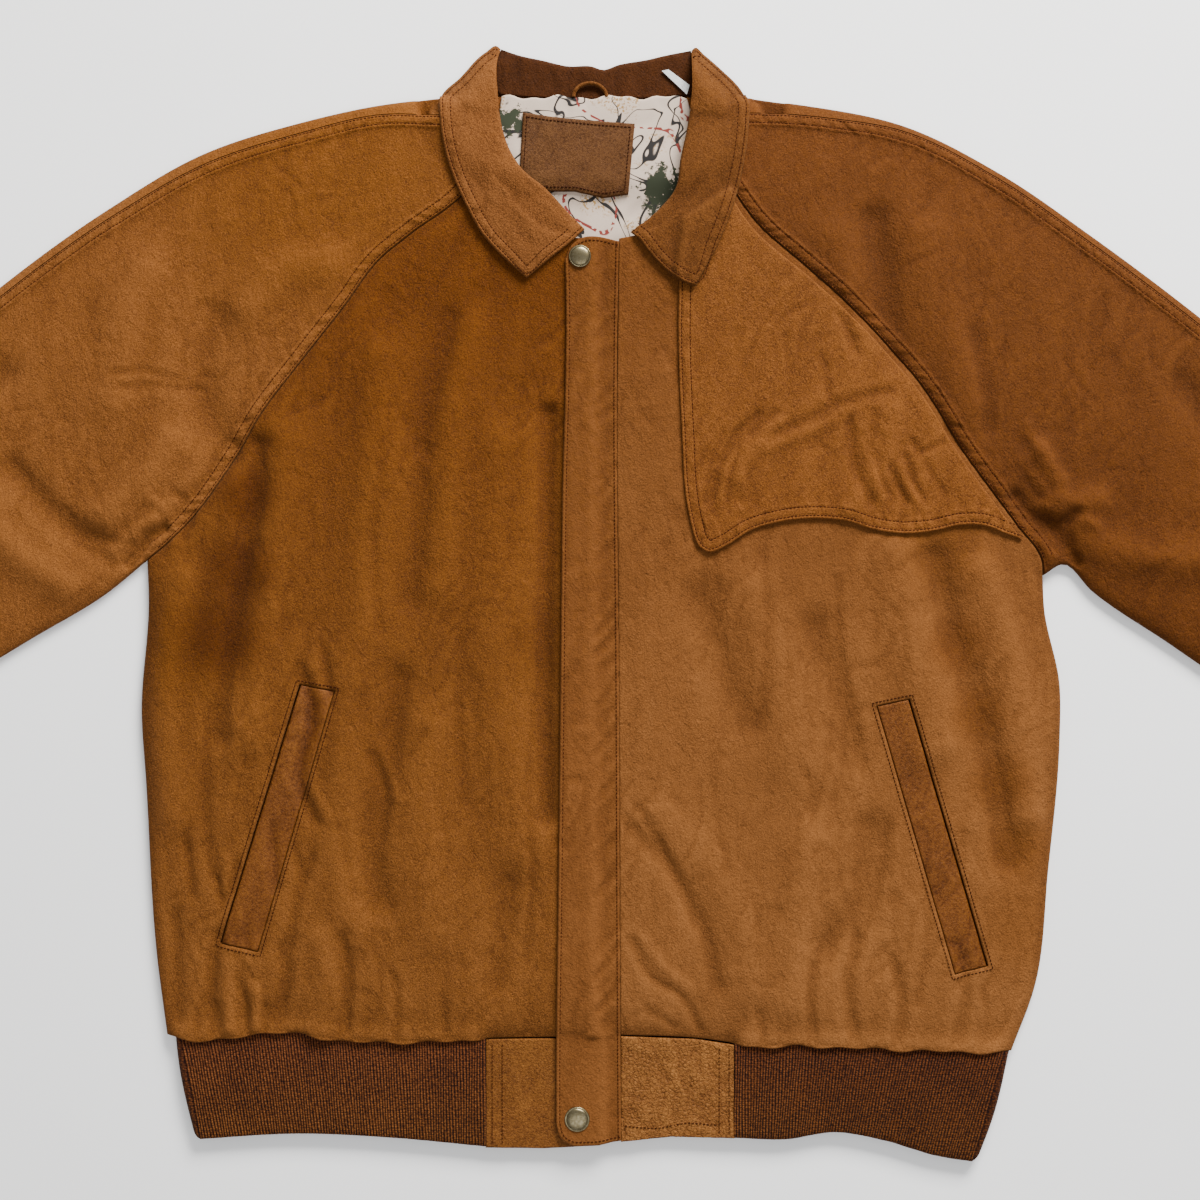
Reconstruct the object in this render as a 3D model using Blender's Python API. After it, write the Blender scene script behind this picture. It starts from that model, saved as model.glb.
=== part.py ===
"""A worn leather bomber jacket, closed and laid flat on its back.

+X runs to the viewer's right, +Y from the hem to the collar, +Z up from the surface that it
lies on. Sizes are in millimetres and become metres when a mesh is made. "Right" and "left" in
the names are the wearer's, so the right front is on the viewer's left.

The back panels lie flat on the surface. The front panels lie over them, rounded at the sides,
with soft folds. A wall is the leather with what is sewn behind it.
"""

import math

import bpy
import numpy as np
from mathutils.geometry import delaunay_2d_cdt

MM = 0.001

# Walls and gaps
WALL = 2.4
SEAM_GAP = 0.3
INNER_GAP = 1.8
LINING_WALL = 1.0
PATCH_WALL = 1.4
LEAF_WALL = 2.2
FLAP_WALL = 1.8
KNIT_WALL = 2.8
LABEL_WALL = 1.0

# How the front panels rise from the edges
EDGE_RADIUS = 9.0
EDGE_LIFT = 1.2
UNDER_RADIUS = 3.0
PUFF = 6.0
PUFF_REACH = 35.0
KNIT_REACH = 16.0
NECK_RISE = 3.0
NECK_REACH = 45.0
FALL_LIFT = 3.0
FALL_REACH = 22.0
SEAM_VALLEY = 1.2
SEAM_VALLEY_REACH = 7.0

# Steps between the points of a mesh
GRID = 32.0
CURVE_STEP = 18.0
EDGE_ROWS = (1.6, 6.0)
GATHER_DEPTHS = (10, 26)

# Outline curves, as points on the real garment's edges and seams
RIGHT_WAIST = [(-304, -305), (-270, -307), (-229, -301), (-181, -307), (-80, -307), (-14, -306)]
LEFT_WAIST = [(14, -305), (67, -307), (100, -311), (145, -311), (220, -314), (289, -316)]
RIGHT_SIDE = [(-304, -305), (-311, -252), (-319, -126), (-322, -80), (-317, 0), (-318, 28)]
LEFT_SIDE = [(289, -316), (305, -273), (315, -189), (323, -98), (323, -60), (312, -5), (311, 17)]
RIGHT_UNDERARM = [(-318, 28), (-346, 5), (-399, -27), (-469, -69), (-539, -109), (-586, -136),
                  (-608, -151), (-619, -159)]
LEFT_UNDERARM = [(311, 17), (325, 25), (346, 6), (399, -30), (469, -78), (539, -123), (586, -153),
                 (608, -169), (619, -177)]
RIGHT_SHOULDER = [(-709, -91), (-708, -75), (-690, -43), (-640, 19), (-549, 111), (-451, 196),
                  (-346, 274), (-279, 313), (-211, 335), (-144, 349), (-112, 352), (-87, 353)]
LEFT_SHOULDER = [(709, -109), (708, -93), (690, -61), (636, -4), (546, 90), (449, 176),
                 (346, 255), (280, 300), (213, 333), (146, 347), (102, 352), (85, 353)]
RIGHT_OVERARM = [(-706, -93), (-704, -76), (-686, -46), (-636, 14), (-545, 106), (-447, 191),
                 (-338, 271), (-273, 307), (-210, 327), (-152, 340), (-108, 338), (-85, 336)]
LEFT_OVERARM = [(706, -111), (704, -94), (687, -65), (633, -8), (543, 86), (446, 172),
                (343, 251), (278, 296), (211, 329), (165, 337), (104, 340), (84, 338)]
RIGHT_RAGLAN = [(-318, 28), (-304, 39), (-280, 64), (-257, 97), (-234, 134), (-211, 164),
                (-178, 206), (-155, 237), (-132, 256), (-98, 281), (-80, 304)]
LEFT_RAGLAN = [(311, 17), (310, 27), (292, 52), (274, 76), (257, 99), (223, 152), (174, 206),
               (143, 234), (111, 262), (82, 302)]
RIGHT_BACK_RAGLAN = [(-318, 28), (-300, 52), (-265, 100), (-215, 165), (-160, 235), (-110, 300),
                     (-70, 353)]
LEFT_BACK_RAGLAN = [(311, 17), (297, 45), (263, 96), (213, 163), (158, 235), (106, 300), (66, 353)]
RIGHT_NECK = [(-7, 252), (-28, 254), (-49, 266), (-66, 286), (-80, 304)]
LEFT_NECK = [(14, 252), (31, 256), (50, 266), (66, 281), (82, 302)]
RIGHT_SLEEVE_NECK = [(-80, 304), (-85, 320), (-87, 336)]
LEFT_SLEEVE_NECK = [(82, 302), (85, 320), (86, 338)]
BACK_NECK = [(66, 353), (35, 351), (0, 350), (-35, 351), (-70, 353)]
RIGHT_CENTRE = -7.0
LEFT_CENTRE = 14.0

# Knitted cuffs and waistband
CUFF_LENGTH = 70.0
CUFF_TOP_HALF = 50.0
CUFF_END_HALF = 46.0
RIB_PITCH = 2.6
RIB_HEIGHT = 0.8
BACK_HEM_RISE = 2.5
RIGHT_CUFF_TOP = (-664, -125)
LEFT_CUFF_TOP = (664, -143)
CUFF_ANGLE = math.radians(53.2)
RIGHT_BAND_TOP = (-297, -306)
RIGHT_BAND_END = (-278, -378)
LEFT_BAND_TOP = (287, -317)
LEFT_BAND_END = (264, -394)
RIGHT_TAB_SEAM = -80.0
LEFT_TAB_SEAM = 94.0
RIGHT_BAND_HEM = [(-278, -378), (-211, -374), (-144, -377), (-80, -383)]
LEFT_BAND_HEM = [(95, -377), (130, -378), (165, -373), (196, -378), (238, -390), (264, -394)]

# Placket, tabs, pockets and flap
PLACKET_LEFT = [(-24.5, 236), (-24, 203), (-26.5, 70), (-28, -70), (-29.5, -210), (-31, -330),
                (-31, -366)]
PLACKET_FOOT = [(-31, -366), (-28, -376), (-20, -381.5), (-8, -382), (15, -379)]
PLACKET_RIGHT = [(15, -379), (14.5, -305), (13.5, -70), (12.5, 200), (13.5, 250)]
PLACKET_HEAD = [(13.5, 250), (-1, 253), (-12.5, 252), (-20.5, 246), (-24.5, 236)]
PLACKET_STEP_X = 5.0
RIGHT_TAB = [(-79, -308), (-79, -383.5), (-40, -384), (0, -382), (0, -307)]
LEFT_TAB = [(16, -306), (16, -379), (50, -376), (94, -377), (94, -312), (67, -308)]
RIGHT_POCKET = [(-210, -59), (-185, -63.5), (-239, -246), (-266, -240)]
LEFT_POCKET = [(193, -74), (216, -69), (271.5, -256), (248, -262)]
WELT_WALL = 2.0
WELT_SLIT = 1.6
FLAP_LEFT = [(57, 250), (54.6, 210), (57, 114), (60, 69), (65, 45)]
FLAP_FOOT = [(65, 45), (69, 37), (76, 33), (87, 37), (105, 48), (125, 54), (152, 56.5), (170, 55),
             (190, 49), (212, 46), (234, 48), (252, 52), (268, 51.5), (283, 46), (295, 42)]
FLAP_RAGLAN = [(295, 42), (274, 70), (256, 94), (222, 147), (173, 201), (142, 229), (116, 250)]

# Collar
RIGHT_LEAF_OUTER = [(-70, 389), (-80.5, 384), (-98, 367), (-112, 352), (-112, 342), (-106, 305),
                    (-94.5, 277), (-81, 253), (-67, 238), (-51, 224)]
RIGHT_LEAF_FRONT = [(-51, 224), (-34, 238), (-20, 249), (-10.5, 258)]
RIGHT_ROLL = [(-10.5, 258), (-22, 270), (-37, 286), (-54, 300), (-63, 314), (-68, 329), (-71, 353),
              (-72, 377), (-70, 389)]
LEFT_LEAF_OUTER = [(66.5, 218), (83, 249), (94, 278), (101, 308), (104, 335), (104, 349), (99, 358),
                   (85, 372), (72, 383), (65, 388)]
LEFT_LEAF_FRONT = [(21, 256), (27, 251), (33, 243), (45, 230), (60, 220), (66.5, 218)]
LEFT_ROLL = [(65, 388), (64, 377), (64, 356), (60, 326), (56, 308), (52.5, 287), (38.5, 270),
             (21, 256)]
STAND_TOP = [(-69.5, 387), (-58, 383), (-40, 379), (-22, 375), (-6, 375), (2, 372.5), (13, 376),
             (33, 379.5), (48, 383), (64, 386)]
STAND_FOOT = [(63.3, 354), (35, 352), (0, 351), (-35, 352), (-70.3, 354)]
RIGHT_STRIP_NECK = [(-28, 254), (-49, 266), (-66, 286), (-80, 304), (-85, 320), (-86, 336)]
RIGHT_STRIP_ROLL = [(-22, 270), (-37, 286), (-54, 300), (-63, 314), (-68, 329), (-69.5, 338)]
LEFT_STRIP_NECK = [(31, 256), (50, 266), (66, 281), (82, 302), (84.5, 320), (85, 337)]
LEFT_STRIP_ROLL = [(38.5, 270), (52.5, 287), (56, 308), (60, 326), (62, 338)]
FALL_EDGE = [(-110, 350), (-98, 320), (-60, 302), (0, 297), (60, 302), (92, 320), (103, 349)]
FALL_RIGHT = [(-69.5, 387), (-80, 382), (-97, 365), (-110, 350)]
FALL_LEFT = [(103, 349), (98, 356), (84, 370), (71, 381), (64, 386)]
STAND_WALL = 2.4

# Neck pieces
LINING = [(-70, 350), (0, 347), (62, 350), (74, 310), (60, 262), (30, 238), (-30, 238), (-62, 270),
          (-76, 310)]
PATCH = [(-54, 341), (24, 333), (20, 284), (-57, 288)]
LOOP_CENTRE_X = -7.0
LOOP_HALF = 11.5
LOOP_HEIGHT = 9.5
LOOP_RADIUS = 1.6
CARE_LABEL = [(43, 371), (48, 372), (63, 361), (61, 354)]

# Snaps
TOP_SNAP = (-14, 239)
TOP_SNAP_RADIUS = 7.75
FOOT_SNAP = (-16, -363)
FOOT_SNAP_RADIUS = 8.75
SNAP_RIM = 1.2
SNAP_DOME = 2.4

# Large soft folds of the front: points, half width and height, a trough where it is below 0
FOLDS = [
    ([(-90, 189), (-104, 120), (-106, 60), (-112, 10)], 15, 2.5),
    ([(-105, 195), (-121, 126), (-124, 70), (-132, 0)], 11, -2.5),
    ([(-150, 170), (-154, 90), (-160, 10), (-172, -40)], 17, 3.0),
    ([(-140, -56), (-148, -112), (-160, -168), (-154, -210)], 11, -3.5),
    ([(-176, -60), (-180, -120), (-182, -180), (-172, -230)], 14, 2.5),
    ([(-120, -90), (-124, -150), (-118, -230)], 15, 2.5),
    ([(-44, 84), (-46, 0), (-40, -63)], 9, -3.0),
    ([(-66, 110), (-72, 10), (-68, -90), (-56, -170)], 17, 2.5),
    ([(-245, 91), (-270, 28), (-286, -28), (-284, -120)], 15, -4.0),
    ([(-215, 110), (-230, 30), (-246, -30), (-250, -90)], 19, 3.5),
    ([(-292, 15), (-304, -50), (-300, -150)], 13, 3.0),
    ([(-63, -200), (-72, -266)], 11, -2.5),
    ([(-200, -200), (-215, -262)], 12, 3.0),
    ([(234, 28), (248, -28), (262, -70), (276, -125), (284, -180)], 12, -5.0),
    ([(207, 30), (222, -40), (236, -100)], 17, 3.5),
    ([(268, 20), (286, -30), (298, -90), (300, -150)], 13, 3.5),
    ([(70, 0), (84, -42), (101, -84)], 14, -2.5),
    ([(108, 10), (126, -50), (138, -110)], 18, 2.5),
    ([(150, -20), (166, -62), (178, -110)], 13, -2.5),
    ([(24, -161), (56, -196), (73, -231), (82, -270)], 9, -3.5),
    ([(44, -150), (78, -185), (98, -225), (108, -270)], 13, 3.0),
    ([(188, -160), (182, -210), (160, -242)], 12, -3.0),
    ([(150, -170), (140, -230), (135, -280)], 15, 2.5),
    ([(94, 88), (133, 126), (175, 147)], 10, 3.0),
    ([(80, 66), (88, 100), (112, 128)], 8, -2.0),
    ([(176, 66), (198, 98), (204, 130)], 10, 2.5),
    ([(192, 265), (199, 217), (208, 170)], 12, -3.5),
    ([(165, 255), (172, 225)], 15, 2.5),
    ([(228, 255), (240, 200), (258, 140)], 18, 3.0),
    ([(290, 72), (299, 60), (318, 44)], 6, -4.0),
    ([(306, 100), (316, 76), (330, 66), (346, 70)], 11, 4.0),
    ([(332, 60), (322, 54), (327, 40), (330, 24)], 5, -5.0),
    ([(346, 40), (380, 30), (420, 28)], 14, 3.5),
    ([(-270, 195), (-278, 150), (-262, 108)], 15, -3.5),
    ([(-245, 205), (-222, 232), (-190, 236)], 15, 3.0),
    ([(-318, 230), (-334, 190), (-340, 140)], 17, 3.0),
    ([(-283, 74), (-300, 52), (-316, 37)], 7, -4.0),
    ([(-300, 110), (-322, 80), (-345, 60)], 13, 3.5),
    ([(-330, 30), (-370, 50), (-410, 92)], 10, -3.5),
    ([(-372, 10), (-410, 36), (-440, 74)], 13, 3.5),
    ([(-420, 160), (-462, 120), (-480, 70)], 13, -3.5),
    ([(-470, 150), (-505, 95), (-515, 30)], 17, 4.0),
    ([(-545, 70), (-560, 10), (-552, -50)], 13, -3.5),
    ([(-590, 30), (-610, -30), (-602, -90)], 15, 3.5),
    ([(410, 150), (440, 104), (446, 46)], 13, -3.5),
    ([(455, 130), (486, 76), (490, 10)], 17, 4.0),
    ([(520, 80), (545, 20), (540, -50)], 13, -3.5),
    ([(575, 30), (600, -30), (596, -96)], 16, 4.0),
]

# Gathers over the knitted bands: places along the seam, then half width, length and height
GATHER_HALF = 5.0
GATHER_LENGTH = 34.0
GATHER_HEIGHT = 2.6
RIGHT_GATHERS = [-288, -273, -260, -246, -234, -219, -205, -190, -173, -158, -141, -122, -104]
LEFT_GATHERS = [108, 121, 133, 146, 160, 173, 189, 203, 218, 231, 246, 259, 273]
CUFF_GATHERS = [-42, -31, -20, -9, 3, 14, 25, 36]

# Colours, from the garment
SUEDE = (0.45, 0.22, 0.07)
WELT_LEATHER = (0.34, 0.14, 0.05)
TAB_LEATHER = (0.50, 0.22, 0.07)
KNIT = (0.17, 0.07, 0.03)
PATCH_LEATHER = (0.24, 0.11, 0.05)
LINING_CLOTH = (0.80, 0.72, 0.62)
BRASS = (0.42, 0.38, 0.28)
LABEL_CLOTH = (0.85, 0.84, 0.80)


def resample(points, step):
    """Points about step apart on a smooth curve through the given ones."""
    p = np.array(points, float)
    t = np.concatenate([[0], np.cumsum(np.linalg.norm(np.diff(p, axis=0), axis=1))])
    slope = np.diff(p, axis=0) / np.diff(t)[:, None]
    tangent = np.vstack([slope[:1], np.zeros((len(p) - 2, 2)), slope[-1:]])
    for i in range(1, len(p) - 1):
        before, after = t[i] - t[i - 1], t[i + 1] - t[i]
        tangent[i] = (slope[i] * before + slope[i - 1] * after) / (before + after)
    dense = []
    for i in range(len(p) - 1):
        span = t[i + 1] - t[i]
        for u in np.linspace(0, 1, 24, endpoint=False):
            dense.append((2 * u**3 - 3 * u**2 + 1) * p[i] + (u**3 - 2 * u**2 + u) * span * tangent[i]
                         + (3 * u**2 - 2 * u**3) * p[i + 1] + (u**3 - u**2) * span * tangent[i + 1])
    dense = np.array(dense + [p[-1]])
    along = np.concatenate([[0], np.cumsum(np.linalg.norm(np.diff(dense, axis=0), axis=1))])
    count = max(1, round(along[-1] / step))
    places = np.linspace(0, along[-1], count + 1)
    return np.stack([np.interp(places, along, dense[:, k]) for k in (0, 1)], axis=1)


def loop(*curves):
    """A closed outline, anticlockwise, from (points, step) curves laid end to end."""
    rows = []
    for points, step in curves:
        row = resample(points, step)
        if rows and np.linalg.norm(rows[-1][-1] - row[0]) > np.linalg.norm(rows[-1][-1] - row[-1]):
            row = row[::-1]
        rows.append(row)
    if np.linalg.norm(rows[0][0] - rows[1][0]) < np.linalg.norm(rows[0][-1] - rows[1][0]):
        rows[0] = rows[0][::-1]
    p = np.vstack(rows)
    keep = np.linalg.norm(p - np.roll(p, 1, axis=0), axis=1) > 0.5
    p = p[keep]
    return p if signed_area(p) > 0 else p[::-1]


def signed_area(p):
    q = np.roll(p, -1, axis=0)
    return 0.5 * np.sum(p[:, 0] * q[:, 1] - q[:, 0] * p[:, 1])


def inset(outline, distance):
    """An anticlockwise outline moved inwards, or outwards where distance is below 0."""
    before = outline - np.roll(outline, 1, axis=0)
    after = np.roll(outline, -1, axis=0) - outline
    normals = []
    for edge in (before, after):
        unit = edge / np.linalg.norm(edge, axis=1)[:, None]
        normals.append(np.stack([-unit[:, 1], unit[:, 0]], axis=1))
    mean = normals[0] + normals[1]
    mean /= np.maximum(np.linalg.norm(mean, axis=1), 1e-6)[:, None]
    stretch = 1 / np.maximum(np.sum(mean * normals[0], axis=1), 0.4)
    return outline + mean * (distance * stretch)[:, None]


def distance_to(line, x, y):
    """The distance from each point to a line of points."""
    p = np.stack([np.ravel(x), np.ravel(y)], axis=1)
    best = np.full(len(p), 1e9)
    for a, b in zip(line[:-1], line[1:]):
        d = b - a
        t = np.clip(((p - a) @ d) / max(d @ d, 1e-9), 0, 1)
        best = np.minimum(best, np.linalg.norm(p - a - t[:, None] * d, axis=1))
    return best.reshape(np.shape(x))


def inside(outline, x, y):
    """Whether each point lies in a closed outline."""
    result = np.zeros(np.shape(x), bool)
    for (ax, ay), (bx, by) in zip(outline, np.roll(outline, -1, axis=0)):
        crosses = (ay > y) != (by > y)
        at = ax + (y - ay) * (bx - ax) / (by - ay if by != ay else 1e-12)
        result ^= crosses & (x < at)
    return result


def ease(t):
    t = np.clip(t, 0, 1)
    return t * t * (3 - 2 * t)


def cuff_corner(centre, side, half, along):
    """A point of a cuff: half is measured across it towards the body, along towards its end."""
    across = np.array([-side * math.sin(CUFF_ANGLE), -math.cos(CUFF_ANGLE)])
    down = np.array([side * math.cos(CUFF_ANGLE), -math.sin(CUFF_ANGLE)])
    return np.array(centre, float) + across * half + down * along


EDGES = [resample(c, 8.0) for c in (RIGHT_SIDE, LEFT_SIDE, RIGHT_UNDERARM, LEFT_UNDERARM,
                                    RIGHT_SHOULDER, LEFT_SHOULDER)]
SEAMS = [resample(c, 10.0) for c in (RIGHT_RAGLAN, LEFT_RAGLAN)]
WAISTS = [resample(c, 12.0) for c in (RIGHT_WAIST, LEFT_WAIST)]
CUFF_SEAMS = [np.array([RIGHT_SHOULDER[0], RIGHT_UNDERARM[-1]], float),
              np.array([LEFT_SHOULDER[0], LEFT_UNDERARM[-1]], float)]
NECKLINE = resample(RIGHT_NECK + RIGHT_SLEEVE_NECK[1:], 8.0), resample(LEFT_NECK, 8.0)
FALL_OUTLINE = loop((FALL_RIGHT, 12), (FALL_EDGE, 20), (FALL_LEFT, 12), (STAND_TOP, 14))


def nearest(lines, x, y):
    return np.min([distance_to(line, x, y) for line in lines], axis=0)


def lift(x, y):
    """How far the collar's fall, folded under the back, carries the garment off the surface."""
    away = np.where(inside(FALL_OUTLINE, x, y), 0, distance_to(
        np.vstack([FALL_OUTLINE, FALL_OUTLINE[:1]]), x, y))
    return FALL_LIFT * (1 - ease(away / FALL_REACH))


def folds(x, y):
    """The soft folds of the front and the gathers over the knitted bands."""
    total = np.zeros(np.shape(x))
    for points, half, height in FOLDS:
        total += height * np.exp(-(distance_to(resample(points, 15.0), x, y) / half) ** 2)
    for line, places in ((WAISTS[0], RIGHT_GATHERS), (WAISTS[1], LEFT_GATHERS)):
        above = distance_to(line, x, y)
        for place in places:
            total += (GATHER_HEIGHT * np.exp(-((x - place) / GATHER_HALF) ** 2)
                      * np.exp(-((above - 12) / GATHER_LENGTH) ** 2) * ease(above / 10))
    for line, centre, side in ((CUFF_SEAMS[0], RIGHT_CUFF_TOP, -1),
                               (CUFF_SEAMS[1], LEFT_CUFF_TOP, 1)):
        above = distance_to(line, x, y)
        across = cuff_corner((0, 0), side, 1, 0)
        place = (x - centre[0]) * across[0] + (y - centre[1]) * across[1]
        for at in CUFF_GATHERS:
            total += (GATHER_HEIGHT * np.exp(-((place - at) / GATHER_HALF) ** 2)
                      * np.exp(-((above - 10) / GATHER_LENGTH) ** 2) * ease(above / 8))
    return total


def flat_top(x, y):
    """The front's outer surface before it turns down at the edges."""
    edge = nearest(EDGES, x, y)
    knit = nearest(WAISTS + CUFF_SEAMS, x, y)
    neck = nearest(NECKLINE, x, y)
    seam = nearest(SEAMS, x, y)
    loft = PUFF * (1 - np.exp(-edge / PUFF_REACH)) * (1 - np.exp(-knit / KNIT_REACH))
    shape = folds(x, y) * ease(edge / 14) * ease(0.2 + neck / 30)
    return (lift(x, y) + 2 * WALL + INNER_GAP + loft + np.maximum(shape, -0.8 * loft)
            + NECK_RISE * np.exp(-((neck / NECK_REACH) ** 2))
            - SEAM_VALLEY * np.exp(-((seam / SEAM_VALLEY_REACH) ** 2)))


def seam_level(x, y):
    """The height of the side seams, where front and back meet."""
    return lift(x, y) + WALL + SEAM_GAP / 2


def front_top(x, y):
    edge = nearest(EDGES, x, y)
    low = seam_level(x, y) + SEAM_GAP / 2 + EDGE_LIFT
    turn = np.sqrt(1 - (1 - np.clip(edge / EDGE_RADIUS, 0, 1)) ** 2)
    return low + (flat_top(x, y) - low) * turn


def front_bottom(x, y):
    edge = nearest(EDGES, x, y)
    low = seam_level(x, y) + SEAM_GAP / 2
    inner = np.clip((edge - WALL) / (EDGE_RADIUS - WALL), 0, 1)
    turn = np.sqrt(1 - (1 - inner) ** 2)
    return low + (flat_top(x, y) - WALL - low) * turn


def back_top(x, y):
    return lift(x, y) + WALL


def back_bottom(x, y):
    edge = nearest(EDGES, x, y)
    round_off = 1 - np.sqrt(1 - (1 - np.clip(edge / UNDER_RADIUS, 0, 1)) ** 2)
    return lift(x, y) + 0.6 * WALL * round_off


def material(name, colour, roughness, metallic=0.0):
    mat = bpy.data.materials.new(name)
    mat.use_nodes = True
    shader = mat.node_tree.nodes["Principled BSDF"]
    shader.inputs["Base Color"].default_value = (*colour, 1)
    shader.inputs["Roughness"].default_value = roughness
    shader.inputs["Metallic"].default_value = metallic
    return mat


def make_object(name, points, faces, mat):
    mesh = bpy.data.meshes.new(name)
    mesh.from_pydata([tuple(float(c) * MM for c in p) for p in points], [], faces)
    mesh.update()
    mesh.materials.append(mat)
    mesh.shade_smooth()
    mesh.set_sharp_from_angle(angle=math.radians(50))
    obj = bpy.data.objects.new(name, mesh)
    bpy.context.scene.collection.objects.link(obj)
    return obj


SURFACES = {}


def plan_points(outline, grid, rows, holes, creases):
    """The points of a panel in plan: its outline, holes, creases, rows by the edge, a grid."""
    loops = [outline] + list(holes)
    points = np.vstack(loops + list(creases))
    edges, start = [], 0
    for ring in loops:
        edges += [(start + i, start + (i + 1) % len(ring)) for i in range(len(ring))]
        start += len(ring)
    for crease in creases:
        edges += [(start + i, start + i + 1) for i in range(len(crease) - 1)]
        start += len(crease)
    lines = [np.vstack([ring, ring[:1]]) for ring in loops] + list(creases)
    for distance in rows:
        row = inset(outline, distance)
        clear = inside(outline, row[:, 0], row[:, 1])
        clear &= nearest(lines, row[:, 0], row[:, 1]) > 0.8 * distance
        near_edge = nearest(EDGES, row[:, 0], row[:, 1]) < distance + 1
        points = np.vstack([points, row[clear & near_edge]])
    return points, edges, lines


def add_free_points(points, wanted, outline, holes, lines, clear, apart):
    """Adds the wanted points that lie in the panel, clear of its lines and of each other."""
    wanted = np.array(wanted, float).reshape(-1, 2)
    if not len(wanted):
        return points
    ok = inside(outline, wanted[:, 0], wanted[:, 1])
    for hole in holes:
        ok &= ~inside(hole, wanted[:, 0], wanted[:, 1])
    wanted = wanted[ok]
    wanted = wanted[nearest(lines, wanted[:, 0], wanted[:, 1]) > clear]
    kept = list(points)
    for p in wanted:
        if np.min(np.linalg.norm(np.array(kept) - p, axis=1)) > apart:
            kept.append(p)
    return np.array(kept)


def grid_points(outline, grid):
    low, high = outline.min(0), outline.max(0)
    rise = grid * math.sqrt(3) / 2
    fill = []
    for j, y in enumerate(np.arange(low[1] + rise / 2, high[1], rise)):
        for x in np.arange(low[0] + grid * (0.25 + 0.5 * (j % 2)), high[0], grid):
            fill.append((x, y))
    return fill


def surface_lines(names, outline):
    """The points and edges of the surfaces that a piece lies on, near its outline."""
    points, edges = np.zeros((0, 2)), []
    low, high = outline.min(0) - 2, outline.max(0) + 2
    for name in names:
        plan, faces, _ = SURFACES[name]
        pairs = {tuple(sorted(pair)) for f in faces for pair in zip(f, f[1:] + f[:1])}
        near = [pair for pair in pairs
                if np.all(plan[list(pair)].max(0) > low) and np.all(plan[list(pair)].min(0) < high)]
        used = sorted({v for pair in near for v in pair})
        number = {v: len(points) + i for i, v in enumerate(used)}
        edges += [(number[a], number[b]) for a, b in sorted(near)]
        points = np.vstack([points, plan[used]]) if used else points
    return points, edges


def height_over(names, x, y):
    """The height of the highest of these surfaces at each point, or -1 beside them all."""
    result = np.full(len(x), -1.0)
    p = np.column_stack([x, y])
    for name in names:
        plan, faces, z = SURFACES[name]
        for f in faces:
            a, b, c = plan[f[0]], plan[f[1]], plan[f[2]]
            area = (b[0] - a[0]) * (c[1] - a[1]) - (c[0] - a[0]) * (b[1] - a[1])
            if abs(area) < 1e-9:
                continue
            u = ((p[:, 0] - a[0]) * (c[1] - a[1]) - (c[0] - a[0]) * (p[:, 1] - a[1])) / area
            v = ((b[0] - a[0]) * (p[:, 1] - a[1]) - (p[:, 0] - a[0]) * (b[1] - a[1])) / area
            on = (u > -1e-4) & (v > -1e-4) & (u + v < 1 + 1e-4)
            at = z[f[0]] + u * (z[f[1]] - z[f[0]]) + v * (z[f[2]] - z[f[0]])
            result = np.where(on, np.maximum(result, at), result)
    return result


def slab(name, outline, bottom, top, mat, grid=GRID, rows=(), holes=(), creases=(), extra=(),
         over=()):
    """A wall over an outline in plan, between two height functions.

    A piece that lies on others takes their points and edges, so that its faces run
    alongside theirs.
    """
    outline = inset(outline, SEAM_GAP / 2)
    points, edges, lines = plan_points(outline, grid, rows, holes, creases)
    if over:
        under_points, under_edges = surface_lines(over, outline)
        edges += [(a + len(points), b + len(points)) for a, b in under_edges]
        points = np.vstack([points, under_points])
    points = add_free_points(points, extra, outline, holes, lines, 2.5, 4.0)
    points = add_free_points(points, grid_points(outline, grid), outline, holes, lines,
                             0.45 * grid, 0.55 * grid)
    found = delaunay_2d_cdt([tuple(p) for p in points], edges, [], 0, 1e-4)
    plan = np.array([tuple(v) for v in found[0]])
    middle = np.array([plan[list(f)].mean(axis=0) for f in found[2]])
    ok = inside(outline, middle[:, 0], middle[:, 1])
    for hole in holes:
        ok &= ~inside(hole, middle[:, 0], middle[:, 1])
    faces = [list(f) for f, keep in zip(found[2], ok) if keep]
    faces = [f if signed_area(plan[f]) > 0 else f[::-1] for f in faces]
    used = sorted({v for f in faces for v in f})
    number = {v: i for i, v in enumerate(used)}
    faces = [[number[v] for v in f] for f in faces]
    plan = plan[used]
    count = len(plan)
    x, y = plan[:, 0], plan[:, 1]
    z_top, z_bottom = top(x, y), bottom(x, y)
    sides = {}
    for f in faces:
        for a, b in zip(f, f[1:] + f[:1]):
            if (b, a) in sides:
                del sides[(b, a)]
            else:
                sides[(a, b)] = True
    solid = [f for f in faces] + [[v + count for v in reversed(f)] for f in faces]
    solid += [[b, a, a + count, b + count] for a, b in sides]
    solid_points = np.vstack([np.column_stack([x, y, z_top]), np.column_stack([x, y, z_bottom])])
    SURFACES[name] = (plan, faces, z_top)
    return make_object(name, solid_points, solid, mat)


def union(obj, other):
    """Joins other into obj."""
    modifier = obj.modifiers.new("join", "BOOLEAN")
    modifier.operation = "UNION"
    modifier.solver = "EXACT"
    modifier.object = other
    bpy.context.view_layer.update()
    graph = bpy.context.evaluated_depsgraph_get()
    joined = bpy.data.meshes.new_from_object(obj.evaluated_get(graph))
    obj.modifiers.clear()
    obj.data = joined
    bpy.data.objects.remove(other)
    return obj


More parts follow.
